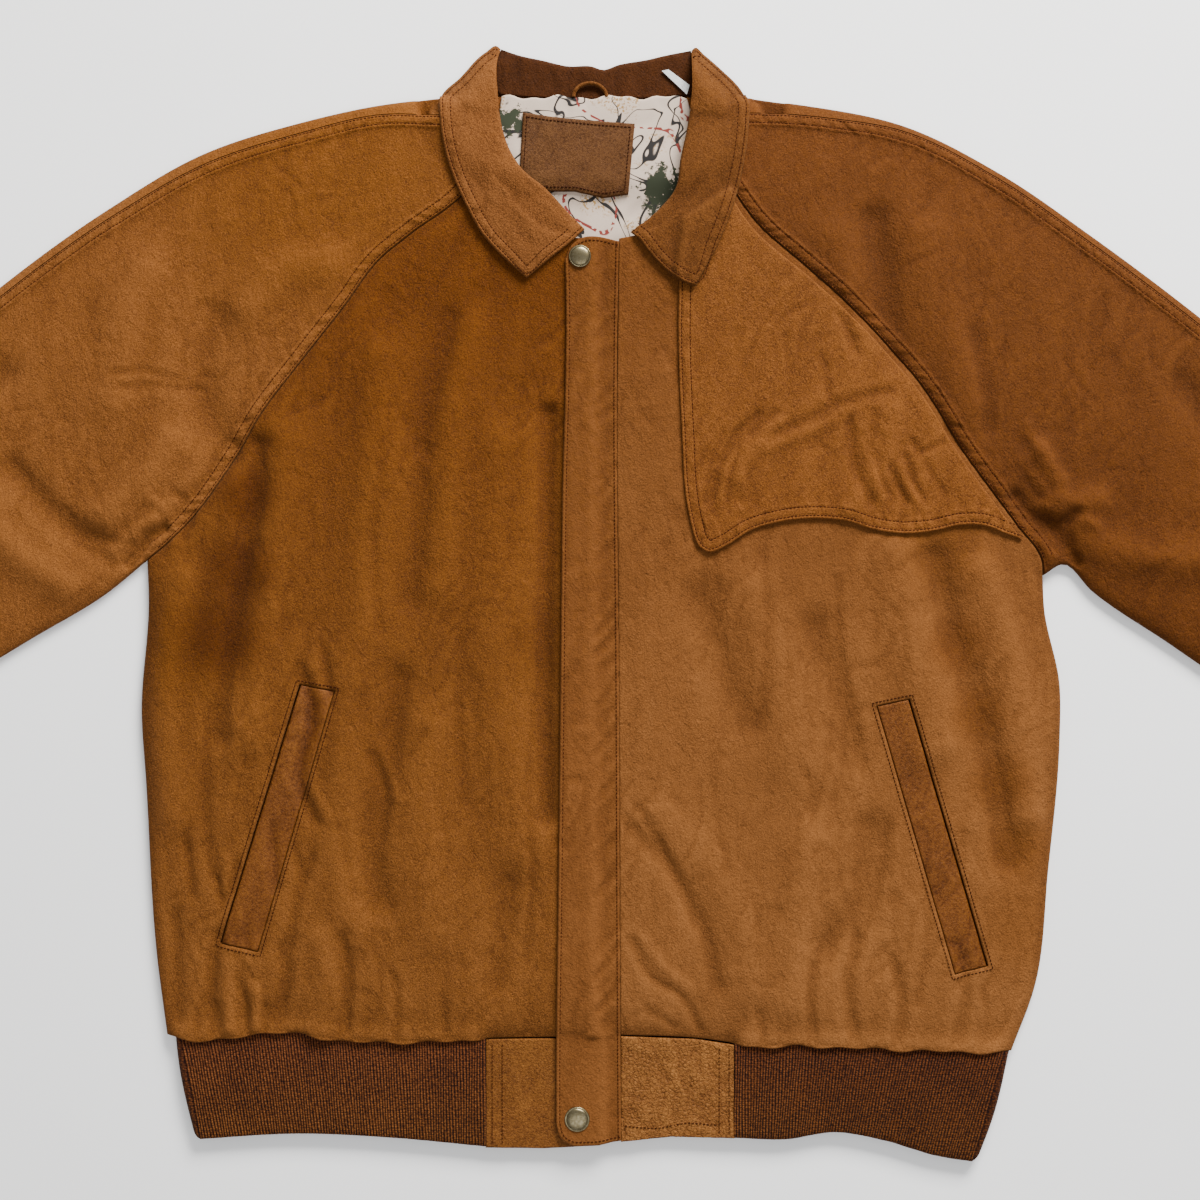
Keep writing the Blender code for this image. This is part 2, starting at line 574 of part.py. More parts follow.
def fold_points():
    """Points on the crest or trough of each fold and on both its flanks."""
    found = []
    for points, half, _ in FOLDS:
        line = resample(points, max(2.0 * half, 20))
        found += [tuple(p) for p in line]
        ahead = np.gradient(line, axis=0)
        ahead /= np.linalg.norm(ahead, axis=1)[:, None]
        beside = np.stack([-ahead[:, 1], ahead[:, 0]], axis=1) * 1.4 * half
        found += [tuple(p) for p in line + beside] + [tuple(p) for p in line - beside]
    return found


def gather_points(line, places, depths):
    """Points for the gathers: on each crest and valley, at some depths above a seam."""
    found = []
    both = sorted(places) + [(a + b) / 2 for a, b in zip(places, places[1:])]
    order = np.argsort(line[:, 0])
    for x in both:
        y = np.interp(x, line[order, 0], line[order, 1])
        found += [(x, y + depth) for depth in depths]
    return found


def cuff_gather_points(centre, side, depths):
    both = CUFF_GATHERS + [(a + b) / 2 for a, b in zip(CUFF_GATHERS, CUFF_GATHERS[1:])]
    return [tuple(cuff_corner(centre, side, at, -depth)) for at in both for depth in depths]


def fall_ring():
    """A line round the collar's fall, where the panels over it are fully lifted."""
    ring = inset(FALL_OUTLINE, -1.0)
    return np.vstack([ring, ring[:1]])


def fall_points():
    """Points where the back panels come down to the surface round the fall."""
    ring = np.vstack([inset(FALL_OUTLINE, d) for d in (-FALL_REACH, -FALL_REACH / 2)])
    return ring[ring[:, 1] < 345]


def pocket_window(corners):
    """The hole in a front for a pocket, with points along its sides."""
    corners = np.array(corners, float)
    ring = []
    for a, b in zip(corners, np.roll(corners, -1, axis=0)):
        count = max(1, round(np.linalg.norm(b - a) / 24))
        ring += [a + (b - a) * i / count for i in range(count)]
    ring = np.array(ring)
    return ring if signed_area(ring) > 0 else ring[::-1]


def body_panels(mats):
    """The two fronts, with a window for each pocket, and the back."""
    right_waist = RIGHT_WAIST[:-1] + [(RIGHT_CENTRE, -306)]
    right = loop((right_waist, CURVE_STEP), (RIGHT_SIDE, 24), (RIGHT_RAGLAN, CURVE_STEP),
                 (RIGHT_NECK[::-1], 8), ([(RIGHT_CENTRE, 252), (RIGHT_CENTRE, -306)], 30))
    left = loop((LEFT_WAIST, CURVE_STEP), (LEFT_SIDE, 24), (LEFT_RAGLAN, CURVE_STEP),
                (LEFT_NECK[::-1], 8), ([(LEFT_CENTRE, 252), (LEFT_CENTRE, -305)], 30))
    slab("front_right", right, front_bottom, front_top, mats["suede"], rows=EDGE_ROWS,
         holes=[pocket_window(RIGHT_POCKET)],
         extra=gather_points(WAISTS[0], RIGHT_GATHERS, GATHER_DEPTHS) + fold_points())
    slab("front_left", left, front_bottom, front_top, mats["suede"], rows=EDGE_ROWS,
         holes=[pocket_window(LEFT_POCKET)],
         extra=gather_points(WAISTS[1], LEFT_GATHERS, GATHER_DEPTHS) + fold_points())
    waist = RIGHT_WAIST[:-1] + LEFT_WAIST[1:]
    back = loop((waist, 30), (LEFT_SIDE, 30), (LEFT_BACK_RAGLAN, 30), (BACK_NECK, 16),
                (RIGHT_BACK_RAGLAN[::-1], 30), (RIGHT_SIDE[::-1], 30))
    slab("back", back, back_bottom, back_top, mats["suede"], grid=90, rows=(UNDER_RADIUS,),
         creases=[fall_ring()], extra=fall_points())


def sleeves(mats):
    """Each sleeve's front and back. The back turns over the top edge to the overarm seam."""
    for word, raglan, back_raglan, neck, shoulder, overarm, under, cuff, side in (
        ("right", RIGHT_RAGLAN, RIGHT_BACK_RAGLAN, RIGHT_SLEEVE_NECK, RIGHT_SHOULDER,
         RIGHT_OVERARM, RIGHT_UNDERARM, RIGHT_CUFF_TOP, -1),
        ("left", LEFT_RAGLAN, LEFT_BACK_RAGLAN, LEFT_SLEEVE_NECK, LEFT_SHOULDER,
         LEFT_OVERARM, LEFT_UNDERARM, LEFT_CUFF_TOP, 1),
    ):
        seam = resample(overarm, 20)
        front = loop((raglan, CURVE_STEP), (neck, 12), (overarm[::-1], 20),
                     ([overarm[0], under[-1]], 14), (under[::-1], 22))
        slab("sleeve_" + word + "_front", front, front_bottom, front_top, mats["suede"],
             rows=EDGE_ROWS,
             extra=cuff_gather_points(cuff, side, GATHER_DEPTHS) + fold_points())
        back = loop((back_raglan, 30), ([back_raglan[-1], shoulder[-1]], 12),
                    (shoulder[::-1], 20), ([shoulder[0], under[-1]], 40), (under[::-1], 30))
        start = seam[0] + (seam[0] - seam[1]) * 0.3
        ending = np.array([[side * 89.5, 347.0], [side * 91.0, 360.0]])
        rim_line = np.vstack([[start], seam, ending])
        creases = [offset_line(rim_line, shoulder[5], d) for d in (0.15, -0.05)]
        rim = offset_line(rim_line, shoulder[5], 0.05)
        outer = offset_line(rim_line, shoulder[5], 40.0)
        rim_area = np.vstack([rim, outer[::-1]])
        slab("sleeve_" + word + "_back", back, back_bottom,
             lambda x, y, area=rim_area: np.where(inside(area, x, y), front_top(x, y),
                                                  back_top(x, y)),
             mats["suede"], grid=90, rows=(2.2,), creases=creases + [fall_ring()],
             extra=fall_points())


def offset_line(line, towards, distance):
    """A line moved sideways, to the side that a given point lies on."""
    ahead = np.gradient(line, axis=0)
    ahead /= np.linalg.norm(ahead, axis=1)[:, None]
    beside = np.stack([-ahead[:, 1], ahead[:, 0]], axis=1)
    nearest_point = np.argmin(np.linalg.norm(line - np.array(towards), axis=1))
    sign = 1 if (np.array(towards) - line[nearest_point]) @ beside[nearest_point] > 0 else -1
    return line + beside * sign * distance


def smooth_top(x, y):
    """The front's outer surface without folds and seam valleys."""
    edge = nearest(EDGES, x, y)
    low = seam_level(x, y) + SEAM_GAP / 2 + EDGE_LIFT
    knit = nearest(WAISTS + CUFF_SEAMS, x, y)
    neck = nearest(NECKLINE, x, y)
    loft = PUFF * (1 - np.exp(-edge / PUFF_REACH)) * (1 - np.exp(-knit / KNIT_REACH))
    top = (lift(x, y) + 2 * WALL + INNER_GAP + loft
           + NECK_RISE * np.exp(-((neck / NECK_REACH) ** 2)))
    turn = np.sqrt(1 - (1 - np.clip(edge / EDGE_RADIUS, 0, 1)) ** 2)
    return low + (top - low) * turn


FRONTS = ["front_right", "front_left"]
SLEEVES = ["sleeve_right_front", "sleeve_right_back", "sleeve_left_front", "sleeve_left_back"]
BAND_RADIUS = 3.6
TAB_BOTTOM = 4.4


def waist_tabs(mats):
    """The leather tabs that the knitted band ends in, each side of the placket."""
    for name, corners in (("waist_tab_right", RIGHT_TAB), ("waist_tab_left", LEFT_TAB)):
        outline = loop(*[([a, b], 26) for a, b in zip(corners, corners[1:] + corners[:1])])
        slab(name, outline, lambda x, y: np.full(len(x), TAB_BOTTOM),
             lambda x, y: np.full(len(x), TAB_BOTTOM + WALL + SEAM_GAP), mats["tab"], grid=60)


def placket(mats):
    """The flap over the zip. It lies on the right front and is sewn to the left one's edge."""
    outline = loop((PLACKET_LEFT[::-1], 30), (PLACKET_HEAD[::-1], 5), (PLACKET_RIGHT[::-1], 30),
                   (PLACKET_FOOT[::-1], 6))
    under = FRONTS + ["waist_tab_right", "waist_tab_left"]

    def bottom(x, y):
        step = ease((x - RIGHT_CENTRE) / (PLACKET_STEP_X - RIGHT_CENTRE))
        free = np.where(y < -306, TAB_BOTTOM + WALL + SEAM_GAP, smooth_top(x, y))
        free = free + SEAM_GAP - (WALL + SEAM_GAP) * step
        return np.maximum(free, height_over(under, x, y) + SEAM_GAP)

    slab("placket", outline, bottom, lambda x, y: bottom(x, y) + WALL, mats["suede"], grid=30,
         creases=[np.array([(PLACKET_STEP_X, 262), (PLACKET_STEP_X, -392)], float)],
         over=under)


def storm_flap(mats):
    """The flap on the left chest, its upper edge in the raglan seam."""
    outline = loop((FLAP_LEFT, 18), (FLAP_FOOT, 12), (FLAP_RAGLAN, 14),
                   ([FLAP_RAGLAN[-1], FLAP_LEFT[0]], 15))

    def bottom(x, y):
        return height_over(["front_left"], x, y) + SEAM_GAP

    slab("storm_flap", outline, bottom, lambda x, y: bottom(x, y) + FLAP_WALL, mats["suede"],
         grid=26, over=["front_left"])


def welts(mats):
    """The pocket welts, in the fronts' windows, with a slit along the outer side."""
    for name, corners in (("welt_right", RIGHT_POCKET), ("welt_left", LEFT_POCKET)):
        c = np.array(corners, float)
        outer = [0, 3] if name == "welt_right" else [1, 2]
        inner = [1, 2] if name == "welt_right" else [0, 3]
        for a, b in zip(outer, inner):
            across = (c[b] - c[a]) / np.linalg.norm(c[b] - c[a])
            c[a] = c[a] + across * WELT_SLIT
        ring = pocket_window(c)
        slab(name, inset(ring, SEAM_GAP / 2), lambda x, y: flat_top(x, y) - WALL - 0.2,
             lambda x, y: flat_top(x, y) - 0.2, mats["welt"], grid=24, extra=fold_points())


def knit_tube(name, stations, z_middle, mat, closed):
    """A ribbed tube or strip through stations of (top, foot, sideways, angle, rib)."""
    shares = (0.0, 1.0)
    points, faces = [], []
    for top, foot, sideways, angle, rib in stations:
        ring = []
        for radius, order in ((BAND_RADIUS + rib, shares), (BAND_RADIUS - KNIT_WALL, shares[::-1])):
            for share in order:
                p = np.array(top) + (np.array(foot) - np.array(top)) * share
                p = p + np.array(sideways) * math.cos(angle) * radius
                ring.append((p[0], p[1], z_middle + math.sin(angle) * radius))
        points += ring
    size = 2 * len(shares)
    count = len(stations)
    for i in range(count if closed else count - 1):
        j = (i + 1) % count
        for k in range(size):
            n = (k + 1) % size
            faces.append([i * size + k, i * size + n, j * size + n, j * size + k])
    if not closed:
        faces.append(list(range(size))[::-1])
        faces.append([(count - 1) * size + k for k in range(size)])
    volume = 0.0
    p = np.array(points)
    for f in faces:
        for a, b in zip(f[1:-1], f[2:]):
            volume += np.dot(p[f[0]], np.cross(p[a], p[b]))
    if volume < 0:
        faces = [f[::-1] for f in faces]
    return make_object(name, points, faces, mat)


def rib_stations(start, end, start_foot, end_foot, top_of, foot_of):
    """Stations along one ribbed front part of the waistband, from start to end in x."""
    ribs = round(abs(end - start) / RIB_PITCH)
    found = []
    for i in range(2 * ribs + 1):
        t = i / (2 * ribs)
        x_top = start + (end - start) * t
        x_foot = start_foot + (end_foot - start_foot) * t
        rib = RIB_HEIGHT if i % 2 else 0.0
        found.append(((x_top, top_of(x_top)), (x_foot, foot_of(x_foot)), (1, 0),
                      math.pi / 2, rib))
    return found


def side_fold(top, foot, side):
    """Stations round one side fold, from the front down to the back."""
    found = []
    for k in range(1, 6):
        angle = math.pi / 2 - side * math.pi * k / 6
        found.append((top, foot, (1, 0), angle, 0.0))
    return found


def curve_y(points):
    p = np.array(sorted(points), float)
    return lambda x: float(np.interp(x, p[:, 0], p[:, 1]))


def waistband(mats):
    """One knitted strip, from the left tab round the back to the right tab."""
    gap = SEAM_GAP / 2
    right_waist = RIGHT_WAIST[:-1] + [(RIGHT_CENTRE, -306)]
    right_top = curve_y([(x, y - 1.5 * SEAM_GAP) for x, y in resample(right_waist, CURVE_STEP)])
    left_top = curve_y([(x, y - 1.5 * SEAM_GAP) for x, y in resample(LEFT_WAIST, CURVE_STEP)])
    right_foot, left_foot = curve_y(RIGHT_BAND_HEM), curve_y(LEFT_BAND_HEM)
    r = BAND_RADIUS
    right_x, right_foot_x = RIGHT_BAND_TOP[0] + r, RIGHT_BAND_END[0] + r
    left_x, left_foot_x = LEFT_BAND_TOP[0] - r, LEFT_BAND_END[0] - r
    stations = rib_stations(LEFT_TAB_SEAM + gap, left_x, LEFT_TAB_SEAM + gap, left_foot_x,
                            left_top, left_foot)
    fold_top, fold_foot = stations[-1][0], stations[-1][1]
    stations += side_fold(fold_top, fold_foot, 1)
    right_fold_top = (right_x, right_top(right_x))
    right_fold_foot = (right_foot_x, right_foot(right_foot_x))
    waist = RIGHT_WAIST[:-1] + LEFT_WAIST[1:]
    back_foot = curve_y(RIGHT_BAND_HEM + LEFT_BAND_HEM)
    for x, y in resample(waist, 30)[::-1]:
        t = (x - left_x) / (right_x - left_x)
        if 0 < t < 1:
            x_foot = left_foot_x + (right_foot_x - left_foot_x) * t
            y_foot = back_foot(x_foot) + BACK_HEM_RISE * min(1, 8 * t, 8 * (1 - t))
            stations.append(((x, y - 3 * SEAM_GAP), (x_foot, y_foot), (1, 0), -math.pi / 2, 0.0))
    stations += side_fold(right_fold_top, right_fold_foot, -1)[::-1]
    stations += rib_stations(right_x, RIGHT_TAB_SEAM - gap, right_foot_x, RIGHT_TAB_SEAM - gap,
                             right_top, right_foot)
    knit_tube("waistband", stations, r, mats["knit"], False)


def cuffs(mats):
    for name, centre, side in (("cuff_right", RIGHT_CUFF_TOP, -1), ("cuff_left", LEFT_CUFF_TOP, 1)):
        sideways = cuff_corner((0, 0), side, 1, 0)
        r = BAND_RADIUS
        stations = []

        def station(across, angle, rib):
            top = cuff_corner(centre, side, across * (CUFF_TOP_HALF - r), SEAM_GAP / 2 + 0.2)
            foot = cuff_corner(centre, side, across * (CUFF_END_HALF - r), CUFF_LENGTH)
            stations.append((top, foot, sideways, angle, rib))

        ribs = round(2 * CUFF_TOP_HALF / RIB_PITCH)
        for i in range(2 * ribs + 1):
            station(-1 + i / ribs, math.pi / 2, RIB_HEIGHT if i % 2 else 0.0)
        for k in range(1, 6):
            station(1, math.pi / 2 - math.pi * k / 6, 0.0)
        for t in np.linspace(1, -1, 5):
            station(t, -math.pi / 2, 0.0)
        for k in range(1, 6):
            station(-1, -math.pi / 2 - math.pi * k / 6, 0.0)
        knit_tube(name, stations, r, mats["knit"], True)


def collar_leaf(mats, name, outer, front, roll, fold, strip_neck, strip_roll, over):
    """One side of the collar: the leaf over the front, and the stand strip folded under it."""
    def bottom(x, y):
        away = distance_to(resample(fold, 8), x, y)
        turn = np.sqrt(1 - (1 - np.clip((away - 2) / 24, 0, 1)) ** 2)
        shoulder = np.where(y > 296, (2.8 + 13 * turn) * ease((y - 296) / 50), 0)
        body = np.where(y < 353, smooth_top(x, y) + 0.6, 0)
        result = np.maximum(np.maximum(shoulder, body), 2.8)
        return np.maximum(result, height_over(over, x, y) + 0.4)

    leaf_outline = loop((outer, 12), (front, 9), (roll, 10))
    leaf = slab(name, leaf_outline, bottom, lambda x, y: bottom(x, y) + LEAF_WALL, mats["suede"],
                grid=24, over=over)
    neck_line = offset_line(resample(strip_neck, 10), strip_roll[3], 1.5)
    strip_outline = loop((neck_line, 10), ([neck_line[-1], strip_roll[-1]], 9),
                         (strip_roll[::-1], 10), ([strip_roll[0], neck_line[0]], 9))
    strip = slab(name + "_strip", strip_outline, lambda x, y: smooth_top(x, y) - WALL,
                 lambda x, y: smooth_top(x, y) - 0.1, mats["suede"], grid=24)
    line = resample(strip_roll, 10)
    band_outline = np.vstack([offset_line(line, outer[len(outer) // 2], -0.8),
                              offset_line(line, outer[len(outer) // 2], 2.6)[::-1]])
    band_outline = band_outline if signed_area(band_outline) > 0 else band_outline[::-1]
    band = slab(name + "_roll", band_outline, lambda x, y: smooth_top(x, y) - WALL + 0.4,
                lambda x, y: bottom(x, y) + LEAF_WALL - 0.4, mats["suede"], grid=30)
    union(leaf, band)
    union(leaf, strip)


def collar(mats):
    collar_leaf(mats, "collar_right", RIGHT_LEAF_OUTER, RIGHT_LEAF_FRONT, RIGHT_ROLL,
                FALL_RIGHT, RIGHT_STRIP_NECK, RIGHT_STRIP_ROLL,
                ["front_right", "sleeve_right_front", "sleeve_right_back"])
    collar_leaf(mats, "collar_left", LEFT_LEAF_OUTER[::-1], LEFT_LEAF_FRONT[::-1], LEFT_ROLL[::-1],
                FALL_LEFT, LEFT_STRIP_NECK, LEFT_STRIP_ROLL,
                ["front_left", "sleeve_left_front", "sleeve_left_back", "storm_flap"])
    fall = slab("collar_back", FALL_OUTLINE, lambda x, y: np.zeros(len(x)),
                lambda x, y: np.full(len(x), 2.5), mats["suede"], grid=40)
    stand_outline = loop((STAND_TOP, 12), ([STAND_TOP[-1], STAND_FOOT[0]], 30), (STAND_FOOT, 16),
                         ([STAND_FOOT[-1], STAND_TOP[0]], 30))
    stand = slab("collar_stand", stand_outline, lambda x, y: np.full(len(x), 3.0),
                 lambda x, y: np.full(len(x), 3.0 + STAND_WALL), mats["suede"], grid=30)
    line = resample(STAND_TOP, 12)
    band_outline = np.vstack([offset_line(line, (0, 300), -0.6),
                              offset_line(line, (0, 300), 2.4)[::-1]])
    band_outline = band_outline if signed_area(band_outline) > 0 else band_outline[::-1]
    roll = slab("collar_roll", band_outline, lambda x, y: np.full(len(x), 0.4),
                lambda x, y: np.full(len(x), 5.0), mats["suede"], grid=30)
    union(fall, roll)
    union(fall, stand)
    SURFACES["collar_back"] = SURFACES.pop("collar_stand")


def neck_pieces(mats):
    """The lining where it shows in the neck, the label patch, the loop and the care label."""
    def lining_bottom(x, y):
        return height_over(["back"], x, y) + SEAM_GAP

    lining = loop(*[([a, b], 18) for a, b in zip(LINING, LINING[1:] + LINING[:1])])
    slab("lining_neck", lining, lining_bottom, lambda x, y: lining_bottom(x, y) + LINING_WALL,
         mats["lining"], over=["back"])

    def patch_bottom(x, y):
        return height_over(["lining_neck"], x, y) + SEAM_GAP

    patch = loop(*[([a, b], 20) for a, b in zip(PATCH, PATCH[1:] + PATCH[:1])])
    slab("label_patch", patch, patch_bottom, lambda x, y: patch_bottom(x, y) + PATCH_WALL,
         mats["patch"], over=["lining_neck"])
    stand_top = 3.0 + STAND_WALL
    label = loop(*[([a, b], 20) for a, b in zip(CARE_LABEL, CARE_LABEL[1:] + CARE_LABEL[:1])])
    slab("care_label", label, lambda x, y: np.full(len(x), stand_top + SEAM_GAP),
         lambda x, y: np.full(len(x), stand_top + SEAM_GAP + LABEL_WALL), mats["label"])
    path = [(LOOP_CENTRE_X + LOOP_HALF * math.cos(a), 352.5 + LOOP_HEIGHT * math.sin(a))
            for a in np.linspace(math.pi, 0, 11)]
    tube("hanger_loop", path, stand_top + SEAM_GAP + LOOP_RADIUS, LOOP_RADIUS, mats["suede"])


def tube(name, path, z, radius, mat, around=8):
    """A round cord along a line in plan."""
    path = np.array(path, float)
    ahead = np.gradient(path, axis=0)
    ahead /= np.linalg.norm(ahead, axis=1)[:, None]
    beside = np.stack([-ahead[:, 1], ahead[:, 0]], axis=1)
    points, faces = [], []
    for p, side in zip(path, beside):
        for k in range(around):
            a = 2 * math.pi * k / around
            across = side * radius * math.cos(a)
            points.append((p[0] + across[0], p[1] + across[1], z + radius * math.sin(a)))
    for i in range(len(path) - 1):
        for k in range(around):
            n = (k + 1) % around
            faces.append([i * around + k, (i + 1) * around + k, (i + 1) * around + n,
                          i * around + n])
    faces.append(list(range(around)))
    faces.append([(len(path) - 1) * around + k for k in range(around)][::-1])
    p = np.array(points)
    volume = sum(np.dot(p[f[0]], np.cross(p[a], p[b])) for f in faces
                 for a, b in zip(f[1:-1], f[2:]))
    return make_object(name, points, faces if volume > 0 else [f[::-1] for f in faces], mat)


def snap(name, centre, radius, z, mat, around=22):
    """A domed snap cap with a flat rim."""
    profile = [(radius, 0.0), (radius, 0.6 * SNAP_RIM), (radius - 0.7, SNAP_RIM),
               (0.72 * radius, SNAP_RIM), (0.66 * radius, 0.8 * SNAP_RIM),
               (0.58 * radius, SNAP_RIM + 0.5), (0.36 * radius, SNAP_DOME - 0.3)]
    points, faces = [], []
    for r, height in profile:
        for k in range(around):
            a = 2 * math.pi * k / around
            points.append((centre[0] + r * math.cos(a), centre[1] + r * math.sin(a), z + height))
    for i in range(len(profile) - 1):
        for k in range(around):
            n = (k + 1) % around
            faces.append([i * around + k, i * around + n, (i + 1) * around + n,
                          (i + 1) * around + k])
    points.append((centre[0], centre[1], z + SNAP_DOME))
    points.append((centre[0], centre[1], z))
    last = (len(profile) - 1) * around
    for k in range(around):
        n = (k + 1) % around
        faces.append([last + k, last + n, len(points) - 2])
        faces.append([n, k, len(points) - 1])
    return make_object(name, points, faces, mat)


def snaps(mats):
    for name, centre, radius in (("snap_top", TOP_SNAP, TOP_SNAP_RADIUS),
                                 ("snap_bottom", FOOT_SNAP, FOOT_SNAP_RADIUS)):
        a = np.linspace(0, 2 * math.pi, 40, endpoint=False)
        rings = [(centre[0] + r * np.cos(a), centre[1] + r * np.sin(a)) for r in (radius, 4, 1)]
        x = np.concatenate([ring[0] for ring in rings])
        y = np.concatenate([ring[1] for ring in rings])
        snap(name, centre, radius, height_over(["placket"], x, y).max() + 0.1, mats["brass"])


def place_on_origin():
    """Moves everything so that the origin is under the middle of the box round it."""
    corners = np.array([v.co[:] for obj in bpy.data.objects for v in obj.data.vertices])
    low, high = corners.min(axis=0), corners.max(axis=0)
    shift = np.array([(low[0] + high[0]) / 2, (low[1] + high[1]) / 2, low[2]])
    for obj in bpy.data.objects:
        for v in obj.data.vertices:
            v.co = [float(c - s) for c, s in zip(v.co, shift)]


def main():
    for obj in list(bpy.data.objects):
        bpy.data.objects.remove(obj)
    mats = {
        "suede": material("suede", SUEDE, 0.85),
        "tab": material("tab_leather", TAB_LEATHER, 0.7),
        "welt": material("welt_leather", WELT_LEATHER, 0.5),
        "knit": material("knit", KNIT, 0.95),
        "patch": material("patch_leather", PATCH_LEATHER, 0.6),
        "lining": material("lining", LINING_CLOTH, 0.7),
        "brass": material("aged_brass", BRASS, 0.35, 1.0),
        "label": material("label", LABEL_CLOTH, 0.6),
    }
    body_panels(mats)
    sleeves(mats)
    waist_tabs(mats)
    placket(mats)
    storm_flap(mats)
    welts(mats)
    waistband(mats)
    cuffs(mats)
    collar(mats)
    neck_pieces(mats)
    snaps(mats)
    place_on_origin()


main()
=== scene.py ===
"""The looks of a worn leather bomber jacket, laid flat on a pale floor and seen from above.

Sizes are in millimetres in plan, as in the part's source, and become metres when a mesh is made.
+X runs to the viewer's right, +Y from the hem to the collar, +Z up. "Right" and "left" are the
wearer's. Each panel is a thin closed shell over its solid, with its folds, creases, rolled edges
and stitches.
"""
import math

import bpy
import numpy as np
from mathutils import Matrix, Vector
from mathutils.geometry import delaunay_2d_cdt
from mathutils.kdtree import KDTree


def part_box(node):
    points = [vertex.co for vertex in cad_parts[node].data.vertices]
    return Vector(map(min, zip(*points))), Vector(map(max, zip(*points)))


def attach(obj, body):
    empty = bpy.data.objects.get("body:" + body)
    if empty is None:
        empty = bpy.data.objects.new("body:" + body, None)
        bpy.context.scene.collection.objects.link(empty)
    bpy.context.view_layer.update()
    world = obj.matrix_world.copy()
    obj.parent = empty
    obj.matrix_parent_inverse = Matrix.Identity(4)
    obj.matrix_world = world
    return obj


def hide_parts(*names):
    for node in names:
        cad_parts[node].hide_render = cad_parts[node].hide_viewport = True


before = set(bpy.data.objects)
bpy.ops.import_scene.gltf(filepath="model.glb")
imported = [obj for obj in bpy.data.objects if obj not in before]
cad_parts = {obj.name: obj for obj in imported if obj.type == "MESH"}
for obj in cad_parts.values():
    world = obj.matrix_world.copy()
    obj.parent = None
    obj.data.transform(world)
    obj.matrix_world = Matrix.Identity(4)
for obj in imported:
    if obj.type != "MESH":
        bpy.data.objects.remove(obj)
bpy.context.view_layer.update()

MM = 0.001

# Walls and gaps, in millimetres as all sizes here
WALL = 2.4
SEAM_GAP = 0.3
INNER_GAP = 1.8
LINING_WALL = 1.0
PATCH_WALL = 1.4
LEAF_WALL = 2.2
FLAP_WALL = 1.8
KNIT_WALL = 2.8
LABEL_WALL = 0.7
FALL_WALL = 2.5
STAND_WALL = 2.4

# How the front panels rise from the edges
EDGE_RADIUS = 9.0
EDGE_LIFT = 1.2
UNDER_RADIUS = 3.0
PUFF = 6.0
PUFF_REACH = 35.0
KNIT_REACH = 16.0
NECK_RISE = 3.0
NECK_REACH = 45.0
FALL_LIFT = 3.0
FALL_REACH = 22.0
SEAM_VALLEY = 1.2
SEAM_VALLEY_REACH = 7.0
WAIST_PUFF = 3.4

# Steps between the points of a mesh, and rows of points along its edges and seams
STEP = 2.7
EDGE_STEP = 3.0
FINE_STEP = 1.7
ROWS = (0.35, 0.8, 1.4, 2.2, 3.4)
SEAM_ROWS = (0.35, 0.8, 1.3, 1.8, 2.4, 3.4, 4.6, 5.8, 6.8, 7.5, 8.2, 9.2, 10.4)

# Rows of stitches, by their distance from the seam or edge
RAGLAN_ROWS = (1.8, 7.5)
OVERARM_ROWS = (1.5, 7.0)
FLAP_ROWS = (2.5, 8.5)
LEAF_ROWS = (2.6, 8.0)
PLACKET_ROW = 2.9
PLACKET_END_ROW = 3.0
PLACKET_SEWN_ROW = 2.2
POCKET_ROW = 2.5
PATCH_ROW = 3.0

# How much of a shell's height above its surroundings counts as full relief in a material, which paints
# shade into its hollows from it
RELIEF_HEIGHT = 0.30
FOLD_HEIGHT = 1.5

# Camera, lights and floor, in metres and watts
CAMERA_HEIGHT = 1.408
CAMERA_LENS = 60
CAMERA_SENSOR = 36
WINDOW_PLACE = (0.85, 2.1, 1.15)
WINDOW_SIZE = (1.5, 0.8)
WINDOW_POWER = 235
FILL_PLACE = (0.3, -1.2, 2.6)
FILL_SIZE = (2.5, 1.5)
FILL_POWER = 34
SKY_STRENGTH = 0.56
FLOOR_HALF = 4.0
FLOOR_DEPTH = 0.0004

# Outline curves, as points on the real garment's edges and seams
RIGHT_WAIST = [(-304, -305), (-270, -307), (-229, -301), (-181, -307), (-80, -307), (-14, -306)]
LEFT_WAIST = [(14, -305), (67, -307), (100, -311), (145, -311), (220, -314), (289, -316)]
RIGHT_SIDE = [(-304, -305), (-311, -252), (-319, -126), (-322, -80), (-317, 0), (-318, 28)]
LEFT_SIDE = [(289, -316), (305, -273), (315, -189), (323, -98), (323, -60), (312, -5), (311, 17)]
RIGHT_UNDERARM = [(-318, 28), (-346, 5), (-399, -27), (-469, -69), (-539, -109), (-586, -136),
                  (-608, -151), (-619, -159)]
LEFT_UNDERARM = [(311, 17), (325, 25), (346, 6), (399, -30), (469, -78), (539, -123), (586, -153),
                 (608, -169), (619, -177)]
RIGHT_SHOULDER = [(-709, -91), (-708, -75), (-690, -43), (-640, 19), (-549, 111), (-451, 196),
                  (-346, 274), (-279, 313), (-211, 335), (-144, 349), (-112, 352), (-87, 353)]
LEFT_SHOULDER = [(709, -109), (708, -93), (690, -61), (636, -4), (546, 90), (449, 176),
                 (346, 255), (280, 300), (213, 333), (146, 347), (102, 352), (85, 353)]
RIGHT_OVERARM = [(-706, -93), (-704, -76), (-686, -46), (-636, 14), (-545, 106), (-447, 191),
                 (-338, 271), (-273, 307), (-210, 327), (-152, 340), (-108, 338), (-85, 336)]
LEFT_OVERARM = [(706, -111), (704, -94), (687, -65), (633, -8), (543, 86), (446, 172),
                (343, 251), (278, 296), (211, 329), (165, 337), (104, 340), (84, 338)]
RIGHT_RAGLAN = [(-318, 28), (-304, 39), (-280, 64), (-257, 97), (-234, 134), (-211, 164),
                (-178, 206), (-155, 237), (-132, 256), (-98, 281), (-80, 304)]
